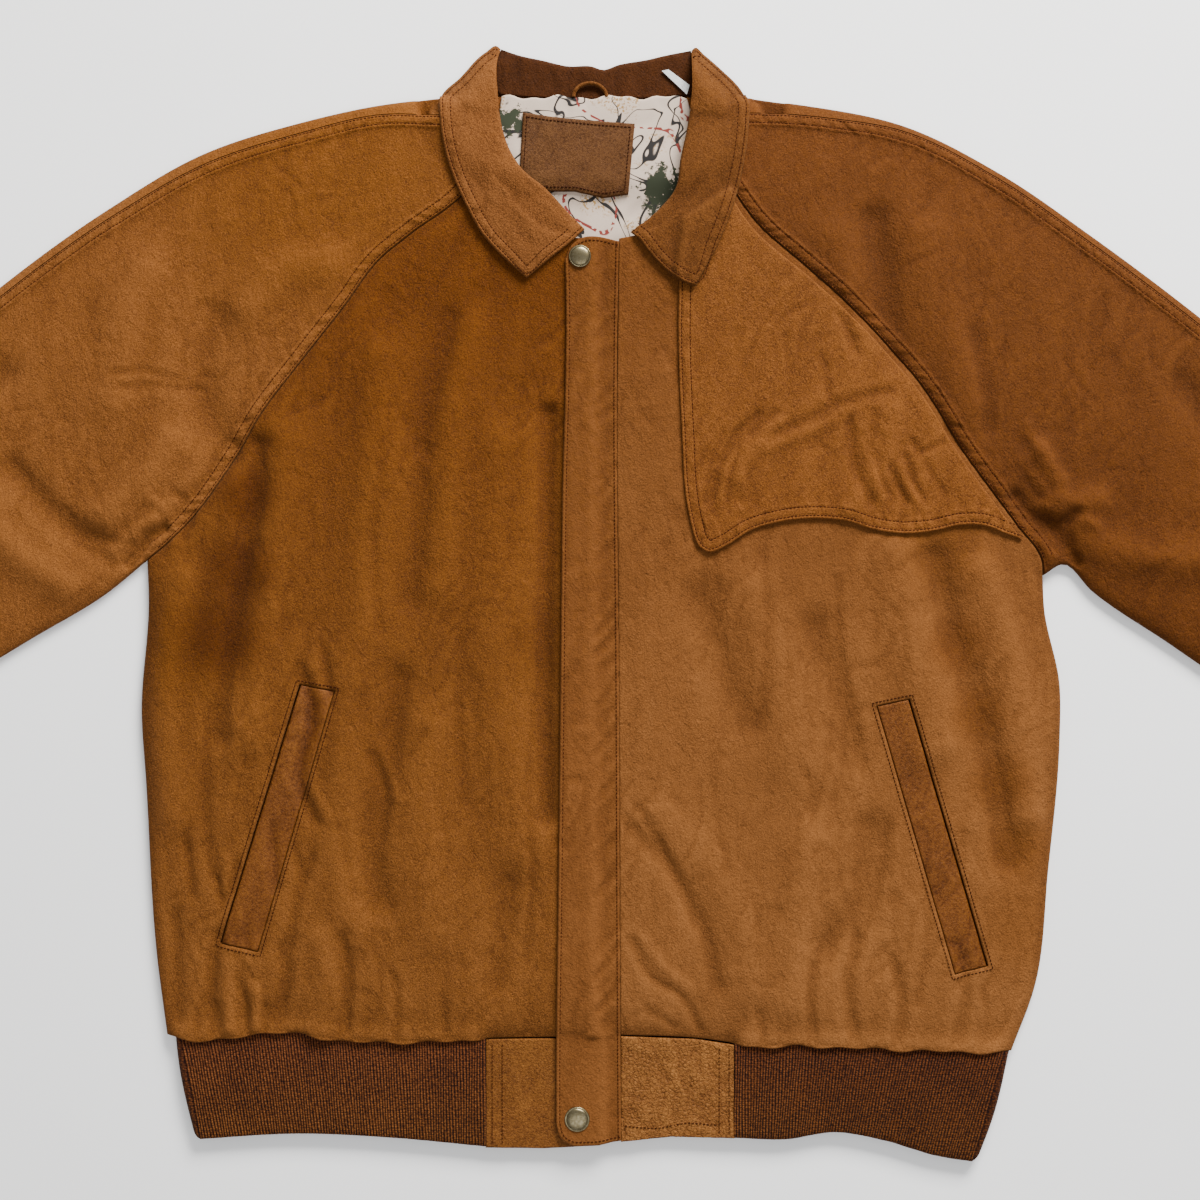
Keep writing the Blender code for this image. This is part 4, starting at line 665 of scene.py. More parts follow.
def folds(s):
    """The soft folds of the front and the gathers over the knitted bands."""
    def make():
        x, y = s.x, s.y
        total = np.zeros(np.shape(x))
        add_ridges(total, x, y, FOLD_LINES)
        for line, places in ((WAISTS[0], RIGHT_GATHERS), (WAISTS[1], LEFT_GATHERS)):
            above = distance_to(line, x, y)
            for place in places:
                share = 0.3 + 0.8 * math.exp(-(((place + 250) / 60) ** 2))
                length = GATHER_LENGTH * (0.5 + uneven(place + 7))
                total += (0.7 * share * uneven(place) * GATHER_HEIGHT
                          * bell(x - place - 0.1 * above, GATHER_HALF)
                          * bell(above - 12, length) * ease(0.3 + above / 10))
        for line, centre, side in ((CUFF_SEAMS[0], RIGHT_CUFF_TOP, -1),
                                   (CUFF_SEAMS[1], LEFT_CUFF_TOP, 1)):
            above = distance_to(line, x, y)
            across = cuff_corner((0, 0), side, 1, 0)
            place = (x - centre[0]) * across[0] + (y - centre[1]) * across[1]
            for at in CUFF_GATHERS:
                total += (uneven(at) * GATHER_HEIGHT * bell(place - at, GATHER_HALF)
                          * bell(above - 10, GATHER_LENGTH) * ease(above / 8))
        return total
    return s.keep("folds", make)


def loft(s):
    """How far the front puffs up, away from its edges and from the knit."""
    edge = s.near("edge", EDGES)
    knit = s.near("knit", WAISTS + CUFF_SEAMS)
    return PUFF * (1 - np.exp(-edge / PUFF_REACH)) * (1 - np.exp(-knit / KNIT_REACH))


def neck_rise(s):
    """How far the front rises towards the neck."""
    neck = s.near("neck", NECKLINE)
    return NECK_RISE * bell(neck, NECK_REACH)


def over_knit(x):
    """1 over the knitted waistband, 0 over the tabs and the placket."""
    return ease((np.abs(x - 7) - 82) / 16)


def flat_top(s):
    """The front's outer surface before it turns down at the edges."""
    edge = s.near("edge", EDGES)
    neck = s.near("neck", NECKLINE)
    seam = s.near("seam", SEAMS)
    shape = (folds(s) + hide(s)) * ease(edge / 14) * ease(0.2 + neck / 30)
    waist = s.near("waist", WAISTS)
    return (lift(s) + 2 * WALL + INNER_GAP + loft(s) + np.maximum(shape, -0.8 * loft(s))
            + neck_rise(s) - SEAM_VALLEY * bell(seam, SEAM_VALLEY_REACH)
            + WAIST_PUFF * bell(waist, 9) * ease(edge / 14) * over_knit(s.x))


def low_level(s):
    """The height of the side seams on the front's side."""
    return lift(s) + WALL + SEAM_GAP


def turn_down(s, flat):
    """Turns a surface down at the garment's outer edges."""
    edge = s.near("edge", EDGES)
    low = low_level(s) + EDGE_LIFT
    turn = np.sqrt(1 - (1 - np.clip(edge / EDGE_RADIUS, 0, 1)) ** 2)
    return low + (flat - low) * turn


def front_top(s):
    """The front's outer surface."""
    return s.keep("front_top", lambda: turn_down(s, flat_top(s)))


def smooth_top(s):
    """The front's outer surface without folds and seam valleys."""
    return s.keep("smooth_top", lambda: turn_down(
        s, lift(s) + 2 * WALL + INNER_GAP + loft(s) + neck_rise(s)))


def front_bottom(s):
    """The inside of the front's wall."""
    edge = s.near("edge", EDGES)
    low = low_level(s)
    inner = np.clip((edge - WALL) / (EDGE_RADIUS - WALL), 0, 1)
    turn = np.sqrt(1 - (1 - inner) ** 2)
    return np.maximum(low + (flat_top(s) - WALL - low) * turn, low)


def under_creases(s):
    """Shallow soft creases on the side that lies on the floor."""
    x, y = s.x, s.y
    long_ones = np.maximum(drawn_noise(x, y, 84, 150, 46, 31), 0) ** 1.5
    slanted = np.maximum(drawn_noise(x, y, 55, 80, 26, 32) - 0.1, 0) ** 1.5
    return 1.3 * long_ones + 0.9 * slanted


def back_bottom(s):
    """The side of the back panels that lies on the floor."""
    edge = s.near("edge", EDGES)
    round_off = 1 - np.sqrt(1 - (1 - np.clip(edge / UNDER_RADIUS, 0, 1)) ** 2)
    knit = s.near("knit", WAISTS + CUFF_SEAMS)
    gathers = 0.5 * (1 + np.cos(2 * math.pi * s.x / 14.5)) * bell(knit, 26)
    creases = under_creases(s) * ease(edge / 20) + 1.1 * gathers * ease(edge / 12)
    return lift(s) + 0.6 * WALL * round_off + np.minimum(creases, 1.5)


def back_top(s):
    """The inside of the back panels."""
    return lift(s) + WALL + 0.4 * np.minimum(under_creases(s), 1.5)


def hide(s):
    """The soft random creases of worn leather, and the ones seen at fixed places."""
    def make():
        x, y = s.x, s.y
        sleeve = ease((np.abs(x) - 300) / 60) * ease((y + 200) / 60)
        side = np.sign(x + 0.1)
        broad = drawn_noise(x, y, 82, 110, 42, 11) * (1 - sleeve)
        broad = broad + drawn_noise(x * side, y, 40, 90, 40, 12) * sleeve
        middle = drawn_noise(x, y, 74, 46, 17, 13) + 0.7 * drawn_noise(x, y, 20, 34, 15, 14)
        total = 0.50 * broad + 0.24 * middle
        for degrees, length, width, seed, depth in (
            (68, 52, 17, 15, 0.55), (100, 40, 13, 17, 0.45), (28, 30, 11, 18, 0.30),
        ):
            line = drawn_noise(x, y, degrees, length, width, seed)
            patchy = np.clip(0.15 + 1.6 * drawn_noise(x, y, degrees, 90, 55, seed + 30), 0, 1)
            total -= depth * bell(line, 0.13) * patchy
            total += 0.5 * depth * bell(line - 0.3, 0.2) * patchy
        add_ridges(total, x, y, CREASE_LINES, fading=True)
        return total
    return s.keep("hide", make)


def rolled(away, radius, drop):
    """The drop of a folded edge, away from it by some distance."""
    return drop * (1 - np.sqrt(1 - (1 - np.clip(away / radius, 0, 1)) ** 2))


def groove(away, at, half, depth):
    """The dent of a row of stitches, at some distance from a line."""
    return -depth * bell(away - at, half)


def seam_band(away, place, first, second, seed):
    """A sewn-down band beside a seam, with two rows of stitches and small puckers."""
    band = 1.1 * ease(away / 1.2) * (1 - ease((away - second - 0.8) / 2.4))
    rows = groove(away, first, 0.55, 0.5) + groove(away, second, 0.6, 0.65)
    slanted = place + 0.9 * away + 3.0 * noise(place / 30, 0 * away, seed + 5)
    pucker = noise(slanted / 4.0, away / 11.0, seed) * bell(away - 5.0, 5.0)
    return band + rows + 0.75 * pucker


def sleeve_surface(s, side):
    """A sleeve's outer surface, with the bands sewn beside its raglan and overarm seams."""
    def make():
        away, place = trace(RAGLANS[side], s.x, s.y)
        top = front_top(s) + seam_band(away, place, *RAGLAN_ROWS, 21)
        away, place = trace(OVERARMS[side], s.x, s.y)
        edge = s.near("edge", EDGES)
        top = top + seam_band(away, place, *OVERARM_ROWS, 22) * ease(edge / 5)
        slit = distance_to(SLIT_LINES[side], s.x, s.y)
        ridge = distance_to(RIDGE_LINES[side], s.x, s.y)
        return (top - SLIT_DEPTH * bell(slit, SLIT_HALF)
                + RIDGE_HEIGHT * bell(ridge, RIDGE_HALF))
    return s.keep("sleeve_" + side, make)


def single(points):
    """Points rounded to the precision that the triangulation works in."""
    return np.asarray(points, np.float32).astype(float)


def triangulate(outline, holes, rows, step, creases=()):
    """Triangles in plan of a panel: its outline, rows along it, and an even filling."""
    outline = single(outline)
    holes = [single(hole) for hole in holes]
    creases = [single(crease) for crease in creases]
    loops = [outline] + holes
    points = np.vstack(loops + creases)
    edges, start = [], 0
    for ring in loops:
        edges += [(start + i, start + (i + 1) % len(ring)) for i in range(len(ring))]
        start += len(ring)
    for crease in creases:
        edges += [(start + i, start + i + 1) for i in range(len(crease) - 1)]
        start += len(crease)
    lines = [closed(ring) for ring in loops] + creases
    extra = []
    for distance in rows:
        for k, ring in enumerate(loops):
            row = inset(ring, distance if k == 0 else -distance)
            ok = inside(outline, row[:, 0], row[:, 1])
            for hole in holes:
                ok &= ~inside(hole, row[:, 0], row[:, 1])
            row = row[ok]
            extra.append(row[nearest(lines, row[:, 0], row[:, 1]) > 0.85 * distance])
    low, high = outline.min(0), outline.max(0)
    rise = step * math.sqrt(3) / 2
    xs = np.arange(low[0], high[0], step)
    ys = np.arange(low[1], high[1], rise)
    gx, gy = np.meshgrid(xs, ys)
    gx = gx + step * 0.5 * (np.arange(len(ys)) % 2)[:, None]
    gx, gy = gx.ravel(), gy.ravel()
    ok = inside(outline, gx, gy)
    for hole in holes:
        ok &= ~inside(hole, gx, gy)
    gx, gy = gx[ok], gy[ok]
    far = nearest(lines, gx, gy) > (max(rows) if rows else 0) + 0.55 * step
    extra.append(np.column_stack([gx[far], gy[far]]))
    points = single(np.vstack([points] + extra))
    found = delaunay_2d_cdt([tuple(p) for p in points], edges, [], 0, 1e-5)
    plan = np.array([tuple(v) for v in found[0]])
    faces = np.array([tuple(f) for f in found[2]])
    middle = plan[faces].mean(axis=1)
    ok = inside(outline, middle[:, 0], middle[:, 1])
    for hole in holes:
        ok &= ~inside(hole, middle[:, 0], middle[:, 1])
    faces = faces[ok]
    a, b, c = plan[faces[:, 0]], plan[faces[:, 1]], plan[faces[:, 2]]
    turn = (b[:, 0] - a[:, 0]) * (c[:, 1] - a[:, 1]) - (c[:, 0] - a[:, 0]) * (b[:, 1] - a[:, 1])
    faces = np.where((turn > 0)[:, None], faces, faces[:, ::-1])
    used = np.unique(faces)
    number = np.full(len(plan), -1)
    number[used] = np.arange(len(used))
    new_place = {old: number[new] for new, olds in enumerate(found[3]) for old in olds}
    rings, start = [], 0
    for ring in loops:
        rings.append([new_place[start + i] for i in range(len(ring))])
        start += len(ring)
    return plan[used], number[faces], rings


def smoothed(z, faces, times):
    """Heights averaged again and again with those of their neighbours."""
    a = np.concatenate([faces[:, 0], faces[:, 1], faces[:, 2]])
    b = np.concatenate([faces[:, 1], faces[:, 2], faces[:, 0]])
    both, other = np.concatenate([a, b]), np.concatenate([b, a])
    count = np.maximum(np.bincount(both, minlength=len(z)), 1)
    for _ in range(times):
        z = 0.4 * z + 0.6 * np.bincount(both, z[other], len(z)) / count
    return z


def make_mesh(name, points, faces, mat, sharp=60, relief=None, fold=None):
    """An object from points in millimetres, with heights that its material reads."""
    mesh = bpy.data.meshes.new(name)
    world = (np.asarray(points, float) + SHIFT) * MM
    mesh.from_pydata(world.tolist(), [], [list(map(int, f)) for f in faces])
    for word, values in (("relief", relief), ("fold", fold)):
        if values is not None:
            mesh.attributes.new(word, "FLOAT", "POINT").data.foreach_set(
                "value", np.asarray(values, np.float32))
    mesh.update()
    mesh.materials.append(mat)
    mesh.shade_smooth()
    mesh.set_sharp_from_angle(angle=math.radians(sharp))
    obj = bpy.data.objects.new(name, mesh)
    bpy.context.scene.collection.objects.link(obj)
    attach(obj, "root")
    return obj


def shell(name, outline, bottom, top, mat, step=3.0, rows=ROWS, holes=(), under_step=9.0,
          gap=SEAM_GAP / 2, roll=(1.5, 0.9), creases=(), rim=None):
    """A closed thin sheet between two height functions, its edges rolled down."""
    outline = inset(outline, gap)
    plan, faces, rings = triangulate(outline, holes, rows, step, creases)
    under, under_faces, under_rings = triangulate(outline, holes, (1.5,), under_step)
    s = Spots(plan[:, 0], plan[:, 1])
    lines = [closed(outline)] + [closed(hole) for hole in holes]
    away = nearest(lines, s.x, s.y)
    low = bottom(s)
    z_top = np.maximum(top(s) - rolled(away, *roll), low + 0.7)
    u = Spots(under[:, 0], under[:, 1])
    z_under = bottom(u)
    count = len(plan)
    solid = faces.tolist() + (under_faces[:, ::-1] + count).tolist()
    for ring, under_ring in zip(rings, under_rings):
        for i in range(len(ring)):
            j = (i + 1) % len(ring)
            solid.append([ring[j], ring[i], under_ring[i] + count, under_ring[j] + count])
    points = np.vstack([np.column_stack([plan, z_top]), np.column_stack([under, z_under])])
    # fine and broad: how far each point stands above or sinks below its neighbours; the materials
    # paint shade from them into hollows, creases and folds, and rim sets fine along the free edges,
    # painting them lighter
    fine = (z_top - smoothed(z_top, faces, 10)) / RELIEF_HEIGHT
    if rim is not None:
        fine = rim + (fine - rim) * ease(away / 3.0)
    under_fine = (smoothed(z_under, under_faces, 6) - z_under) / RELIEF_HEIGHT
    broad = (z_top - smoothed(z_top, faces, 150)) / FOLD_HEIGHT
    return make_mesh(name, points, solid, mat,
                     relief=np.clip(np.concatenate([fine, under_fine]), -1, 1),
                     fold=np.clip(np.concatenate([broad, under_fine]), -1, 1))


def level_at(height):
    """A height function of a level plane."""
    return lambda s: np.full(len(s.x), float(height))


def at_points(surface, points):
    """The height of a surface at some points in plan."""
    p = np.asarray(points, float)
    return surface(Spots(p[:, 0], p[:, 1]))


def ring_quads(rings, around, first=0, closed_round=False):
    """Quads between rings of points that follow each other in a list of points."""
    quads = []
    for i in range(rings if closed_round else rings - 1):
        a = first + i * around
        b = first + (i + 1) % rings * around
        for k in range(around):
            n = (k + 1) % around
            quads.append([a + k, a + n, b + n, b + k])
    return quads


def stitches(name, rows, surface, mat, pitch=2.6, length=1.9, radius=0.34, sink=0.12):
    """Short lengths of thread along lines in plan, lying on a surface."""
    starts, ends = [], []
    for row in rows:
        row = np.asarray(row, float)
        along = places_along(row)
        count = max(1, int(along[-1] / pitch))
        for i in range(count):
            middle = (i + 0.5) * along[-1] / count
            pair = []
            for at in (middle - length / 2, middle + length / 2):
                pair.append([np.interp(at, along, row[:, k]) for k in (0, 1)])
            starts.append(pair[0])
            ends.append(pair[1])
    starts, ends = np.array(starts), np.array(ends)
    middles = (starts + ends) / 2
    z = [at_points(surface, p) for p in (starts, middles, ends)]
    slope = z[2] - z[0]
    points, faces = [], []
    around = 5
    for k in range(len(starts)):
        a, b = starts[k], ends[k]
        ahead = (b - a) / max(np.linalg.norm(b - a), 1e-6)
        beside = np.array([-ahead[1], ahead[0]])
        first = len(points)
        for share, size, dip in ((0.0, 0.45, -0.20), (0.22, 1.0, 0.0), (0.78, 1.0, 0.0),
                                 (1.0, 0.45, -0.20)):
            p = a + (b - a) * share
            height = z[1][k] + slope[k] * (share - 0.5) + radius - sink + dip
            for n in range(around):
                turn = 2 * math.pi * (n + 0.5) / around
                q = p + beside * math.cos(turn) * radius * size
                points.append((q[0], q[1], height + math.sin(turn) * radius * size))
        faces += ring_quads(4, around, first)
        faces.append([first + n for n in range(around)][::-1])
        faces.append([first + 3 * around + n for n in range(around)])
    if faces:
        p = np.array(points)
        f = faces[0]
        out = np.cross(p[f[1]] - p[f[0]], p[f[2]] - p[f[0]])
        middle = p[:4 * around].mean(axis=0)
        if np.dot(out, p[f[0]] - middle) < 0:
            faces = [face[::-1] for face in faces]
    return make_mesh(name, points, faces, mat, sharp=80)


def sheet(outline, spare=1.03, turn=0.0):
    """Works out a laid sheet's turn and the area of its cut, its outline in plan with a little for its
    folds, and returns nothing.
    """
    turn = math.radians(turn)
    area = abs(signed_area(outline)) * MM * MM * spare


def placket_side(away):
    """The placket's sewn side, from the neck to the waist, moved away to the viewer's right."""
    line = resample(PLACKET_RIGHT, 30)
    xs = np.interp([-305, -250, -150, 0, 120, 252], line[:, 1], line[:, 0])
    return [(x + away, y) for x, y in zip(xs, (-305, -250, -150, 0, 120, 252))][::-1]


def hanging(points):
    """The waist line where the leather puffs over the knit, with an uneven lower edge."""
    line = resample(points, 6.0)
    inner = ease((300 - np.abs(line[:, 0] + 5)) / 14) * over_knit(line[:, 0])
    wave = 1.6 + 0.8 * np.sin(line[:, 0] / 4.6) + 0.6 * np.sin(line[:, 0] / 7.9)
    line[:, 1] -= wave * inner
    return [tuple(p) for p in line]


def body_fronts(mats):
    """The two fronts, each with a window for its pocket welt."""
    right_waist = hanging(RIGHT_FRONT_WAIST)
    left_waist = placket_side(-0.4)[-1:] + hanging(LEFT_WAIST)[2:]
    right = loop((right_waist, EDGE_STEP), (RIGHT_SIDE, EDGE_STEP), (RIGHT_RAGLAN, EDGE_STEP),
                 (RIGHT_NECK[::-1], EDGE_STEP),
                 ([(RIGHT_CENTRE, 252), (RIGHT_CENTRE, WAIST_Y)], EDGE_STEP))
    left = loop((left_waist, EDGE_STEP), (LEFT_SIDE, EDGE_STEP), (LEFT_RAGLAN, EDGE_STEP),
                (LEFT_NECK[:0:-1] + placket_side(-0.4)[:1], EDGE_STEP),
                (placket_side(-0.4), EDGE_STEP))
    for name, outline, pocket in (("front_right", right, RIGHT_POCKET),
                                  ("front_left", left, LEFT_POCKET)):
        window = corners_ring(pocket, EDGE_STEP)
        obj = shell("cloth_" + name, outline, front_bottom, front_top, mats[name], step=STEP,
                    holes=[window])
        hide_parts(name)
        border = closed(inset(window, -POCKET_ROW))
        thread = stitches("stitch_pocket_" + name, [border], front_top, mats["dark_thread"])
        sheet(outline)


def back_panel(mats):
    """The back, flat on the floor."""
    waist = RIGHT_WAIST[:-1] + LEFT_WAIST[1:]
    outline = loop((waist, 5), (LEFT_SIDE, 5), (LEFT_BACK_RAGLAN, 5), (BACK_NECK, 5),
                   (RIGHT_BACK_RAGLAN[::-1], 5), (RIGHT_SIDE[::-1], 5))
    obj = shell("cloth_back", outline, back_bottom, back_top, mats["back"], step=6.5,
                under_step=6.5, roll=(1.5, 0.5))
    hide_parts("back")
    sheet(outline)


def sleeves(mats):
    """Each sleeve's front, and its back, which turns over the top edge to the overarm seam."""
    for word, raglan, back_raglan, neck, shoulder, overarm, under in (
        ("right", RIGHT_RAGLAN, RIGHT_BACK_RAGLAN, RIGHT_SLEEVE_NECK, RIGHT_SHOULDER,
         RIGHT_OVERARM, RIGHT_UNDERARM),
        ("left", LEFT_RAGLAN, LEFT_BACK_RAGLAN, LEFT_SLEEVE_NECK, LEFT_SHOULDER,
         LEFT_OVERARM, LEFT_UNDERARM),
    ):
        front = loop((raglan, FINE_STEP), (neck[:-1] + overarm[-1:], EDGE_STEP),
                     (overarm[::-1], FINE_STEP),
                     ([overarm[0], under[-1]], EDGE_STEP), (under[::-1], EDGE_STEP))

        def surface(s, word=word):
            return sleeve_surface(s, word)

        obj = shell("cloth_sleeve_" + word + "_front", front, front_bottom, surface,
                    mats["sleeve_" + word], step=STEP, rows=SEAM_ROWS)
        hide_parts("sleeve_" + word + "_front")
        middle = front.mean(axis=0)
        rows = [beside(RAGLANS[word], middle, d)[4:-4] for d in RAGLAN_ROWS]
        rows += [beside(OVERARMS[word], middle, d) for d in OVERARM_ROWS]
        thread = stitches("stitch_sleeve_" + word, rows, surface, mats["thread"])
        sheet(front)
        back = loop((back_raglan, 5), ([back_raglan[-1], shoulder[-1]], 5), (shoulder[::-1], 4),
                    ([shoulder[0], under[-1]], 5), (under[::-1], 5))
        seam = resample(overarm, 4)
        side = 1 if word == "left" else -1
        start = seam[0] + (seam[0] - seam[1]) * 2.0
        ending = np.array([[side * 89.5, 347.0], [side * 91.0, 360.0]])
        rim_line = np.vstack([[start], seam, ending])
        rim = beside(rim_line, shoulder[5], 0.1)
        area = np.vstack([rim, beside(rim_line, shoulder[5], 40.0)[::-1]])

        def top(s, area=area):
            return np.where(inside(area, s.x, s.y), front_top(s), back_top(s))

        creases = []
        for d in (0.2, -0.1):
            line = beside(rim_line, shoulder[5], d)
            deep = inside(inset(back, 1.5), line[:, 0], line[:, 1])
            creases.append(line[deep])
        obj = shell("cloth_sleeve_" + word + "_back", back, back_bottom, top,
                    mats["sleeve_" + word], step=6.0, under_step=6.5, creases=creases,
                    rows=(0.5, 1.2, 2.2, 3.4))
        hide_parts("sleeve_" + word + "_back")
        sheet(back)


def waist_tabs(mats):
    """The two stiff tabs beside the placket at the waist, the left one cracked."""
    for side, corners, seed in (("right", RIGHT_TAB, 15), ("left", LEFT_TAB, 14)):
        name = "waist_tab_" + side
        outline = corners_ring(corners, EDGE_STEP)

        def top(s, side=side, seed=seed):
            fine = drawn_noise(s.x, s.y, 80, 22, 12, seed) * 0.4
            if side == "left":
                line = drawn_noise(s.x, s.y, -60, 24, 9, 61)
                fine = fine - 0.6 * bell(line, 0.12) + 0.4 * line
            return TAB_BOTTOM + WALL + SEAM_GAP - 0.1 + fine

        obj = shell("cloth_" + name, outline, level_at(TAB_BOTTOM), top,
                    mats["tab_" + side], step=2.4, gap=-0.25, roll=(1.2, 0.6))
        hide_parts(name)
        if side == "right":
            rows = [np.array([(x, -311), (x, -381)], float) for x in (-75.5, -68.5)]
        else:
            rows = [np.array([(x, -314), (x, -374)], float) for x in (90.5, 83.5)]
            rows.append(resample([(17, -368.5), (40, -370), (60, -366.5), (82, -368)], 3.0))
        thread = stitches("stitch_" + name, rows, top, mats["thread"])
        sheet(outline)


def placket_outline():
    """The placket's outline, with its rounded head and foot."""
    return loop((PLACKET_LEFT[::-1], EDGE_STEP), (PLACKET_HEAD[::-1], 1.5),
                (PLACKET_RIGHT[::-1], EDGE_STEP), (PLACKET_FOOT[::-1], 2.0))


def placket_bottom(s):
    """The placket's underside: over the right front, then down to its seam."""
    step = ease((s.x - RIGHT_CENTRE) / (PLACKET_STEP_X - RIGHT_CENTRE))
    shape = np.maximum(front_top(s) - smooth_top(s), -0.4) * (1 - step)
    over_front = smooth_top(s) + shape + SEAM_GAP - (WALL + SEAM_GAP) * step
    over_tab = TAB_TOP + 0.5 - (WALL + SEAM_GAP) * ease((s.x - 0.5) / 10)
    tab_part = 1 - ease((s.y - WAIST_Y) / 25)
    return np.maximum(over_front * (s.y > WAIST_Y), over_tab * tab_part)


def placket_surface(s):
    """The placket's face, with a thin edge roll and creases at its sewn side."""
    def make():
        away = distance_to(resample(PLACKET_LEFT, 6.0), s.x, s.y)
        thin_roll = 0.35 * bell(away - 1.3, 0.9)
        thin_roll = thin_roll + groove(away, PLACKET_ROW, 0.6, 0.4)
        right_away = distance_to(resample(PLACKET_RIGHT, 6.0), s.x, s.y)
        slanted = drawn_noise(s.x, s.y, 48, 26, 7.5, 41) * bell(right_away, 15)
        soft = drawn_noise(s.x, s.y, 88, 60, 16, 42)
        for foot, depth in PLACKET_CREASES:
            line = np.array([(-9, foot), (0, foot + 9), (8, foot + 19), (13, foot + 28)], float)
            crease_away, crease_place = trace(line, s.x, s.y)
            fade = ease(crease_place / 14)
            slanted = slanted - depth * fade * bell(crease_away, 2.4)
            slanted = slanted + 0.6 * depth * fade * bell(crease_away - 4.5, 3)
        return placket_bottom(s) + WALL + thin_roll + 0.8 * slanted + 0.3 * soft
    return s.keep("placket", make)


def placket(mats):
    """The flap over the closed zip, from the neck to the hem."""
    outline = placket_outline()
    obj = shell("cloth_placket", outline, placket_bottom, placket_surface, mats["placket"],
                step=2.3, under_step=6, rim=0.2)
    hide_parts("placket")
    left = resample(PLACKET_LEFT, 6.0)
    head = resample(PLACKET_HEAD, 2.0)
    foot = resample(PLACKET_FOOT, 2.0)
    right = resample(PLACKET_RIGHT, 6.0)
    middle = (-8, 0)
    rows = [beside(left, middle, PLACKET_ROW), beside(head, (-8, 240), PLACKET_END_ROW),
            beside(foot, (-8, -365), PLACKET_END_ROW), beside(right, middle, PLACKET_SEWN_ROW)]
    thread = stitches("stitch_placket", rows, placket_surface, mats["thread"])
    sheet(outline)


def flap_outline():
    """The storm flap's outline, along the left raglan seam."""
    return loop((FLAP_LEFT, FINE_STEP), (FLAP_FOOT, 1.5), (FLAP_RAGLAN, EDGE_STEP),
                ([FLAP_RAGLAN[-1], FLAP_LEFT[0]], EDGE_STEP))


def flap_bottom(s):
    """The storm flap's underside, just over the left front."""
    return front_top(s) + SEAM_GAP


def flap_surface(s):
    """The storm flap's face, with its sewn edge and puckers."""
    def make():
        line = np.vstack([resample(FLAP_LEFT, 4.0), resample(FLAP_FOOT, 3.0)[1:]])
        away, place = trace(line, s.x, s.y)
        band = 0.45 * (1 - ease((away - 9.2) / 2.6))
        rows = groove(away, FLAP_ROWS[0], 0.55, 0.5) + groove(away, FLAP_ROWS[1], 0.6, 0.6)
        pucker = noise(place / 5.0, away / 14.0, 43) * bell(away - 8, 8)
        right_end = 0.45 + 0.8 * ease((s.x - 150) / 60) * ease((s.y - 40) / 10)
        radiating = drawn_noise(s.x, s.y, 66, 44, 11, 44)
        return (flap_bottom(s) + FLAP_WALL + band + rows + 0.85 * right_end * pucker
                + 0.35 * radiating)
    return s.keep("flap", make)


def storm_flap(mats):
    """The flap on the left chest."""
    outline = flap_outline()
    obj = shell("cloth_storm_flap", outline, flap_bottom, flap_surface, mats["flap"],
                step=2.4, rows=SEAM_ROWS, under_step=6, rim=0.5)
    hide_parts("storm_flap")
    line = np.vstack([resample(FLAP_LEFT, 3.0), resample(FLAP_FOOT, 2.0)[1:]])
    rows = [beside(line, (150, 150), d) for d in FLAP_ROWS]
    thread = stitches("stitch_flap", rows, flap_surface, mats["thread"])
    sheet(outline)


def welts(mats):
    """The pocket welts, in the fronts' windows, with a slit along the outer side."""
    for name, corners in (("welt_right", RIGHT_POCKET), ("welt_left", LEFT_POCKET)):
        c = np.array(corners, float)
        outer = [0, 3] if name == "welt_right" else [1, 2]
        inner = [1, 2] if name == "welt_right" else [0, 3]
        for a, b in zip(outer, inner):
            across = (c[b] - c[a]) / np.linalg.norm(c[b] - c[a])
            c[a] = c[a] + across * WELT_SLIT
        outline = corners_ring(c, EDGE_STEP)
        slit = c[outer]

        def top(s, slit=slit):
            away = distance_to(slit, s.x, s.y)
            crown = 0.5 * bell(away - 6, 6)
            return flat_top(s) - 0.5 + crown + 0.25 * drawn_noise(s.x, s.y, 75, 18, 7, 45)

        obj = shell("cloth_" + name, outline, lambda s: flat_top(s) - WALL - 0.2, top,
                    mats["welt"], step=2.2, gap=0.3, roll=(1.6, 1.0))
        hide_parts(name)
        sheet(outline,
              turn=17 if name == "welt_right" else -16)


def fall_shoulder(s, from_fold):
    """The height of a collar leaf's underside where it rises from the fold behind the neck."""
    turn = np.sin(np.clip((from_fold - 0.5) / 24, 0, 1) * math.pi / 2)
    rise = ease((s.y - FALL_FRONT_Y) / 50)
    return np.where(s.y > FALL_FRONT_Y, (LEAF_LOWEST + 13 * turn) * rise, 0)


def leaf_bottom(s, side):
    """A collar leaf's underside, over all that lies beneath it."""
    def make():
        from_fold = distance_to(LEAF_FOLDS[side], s.x, s.y)
        body = np.where(s.y < COLLAR_SEAM_Y, smooth_top(s) + 0.6, 0)
        result = np.maximum(np.maximum(fall_shoulder(s, from_fold), body), LEAF_LOWEST)
        over_stand = outside(STAND_AREA, s.x, s.y)
        result = np.maximum(result, LEAF_OVER_STAND * (1 - ease(over_stand / 14))
                            * ease(from_fold / 9))
        below = front_top(s) + 0.8
        on_panels = inside(PANEL_AREA[side], s.x, s.y)
        result = np.maximum(result, np.where(on_panels, below + LEAF_GAP, 0))
        if side == "left":
            away = outside(flap_outline(), s.x, s.y)
            result = result + (FLAP_WALL + 0.9) * (1 - ease(away / 5))
        return result
    return s.keep("leaf_" + side, make)


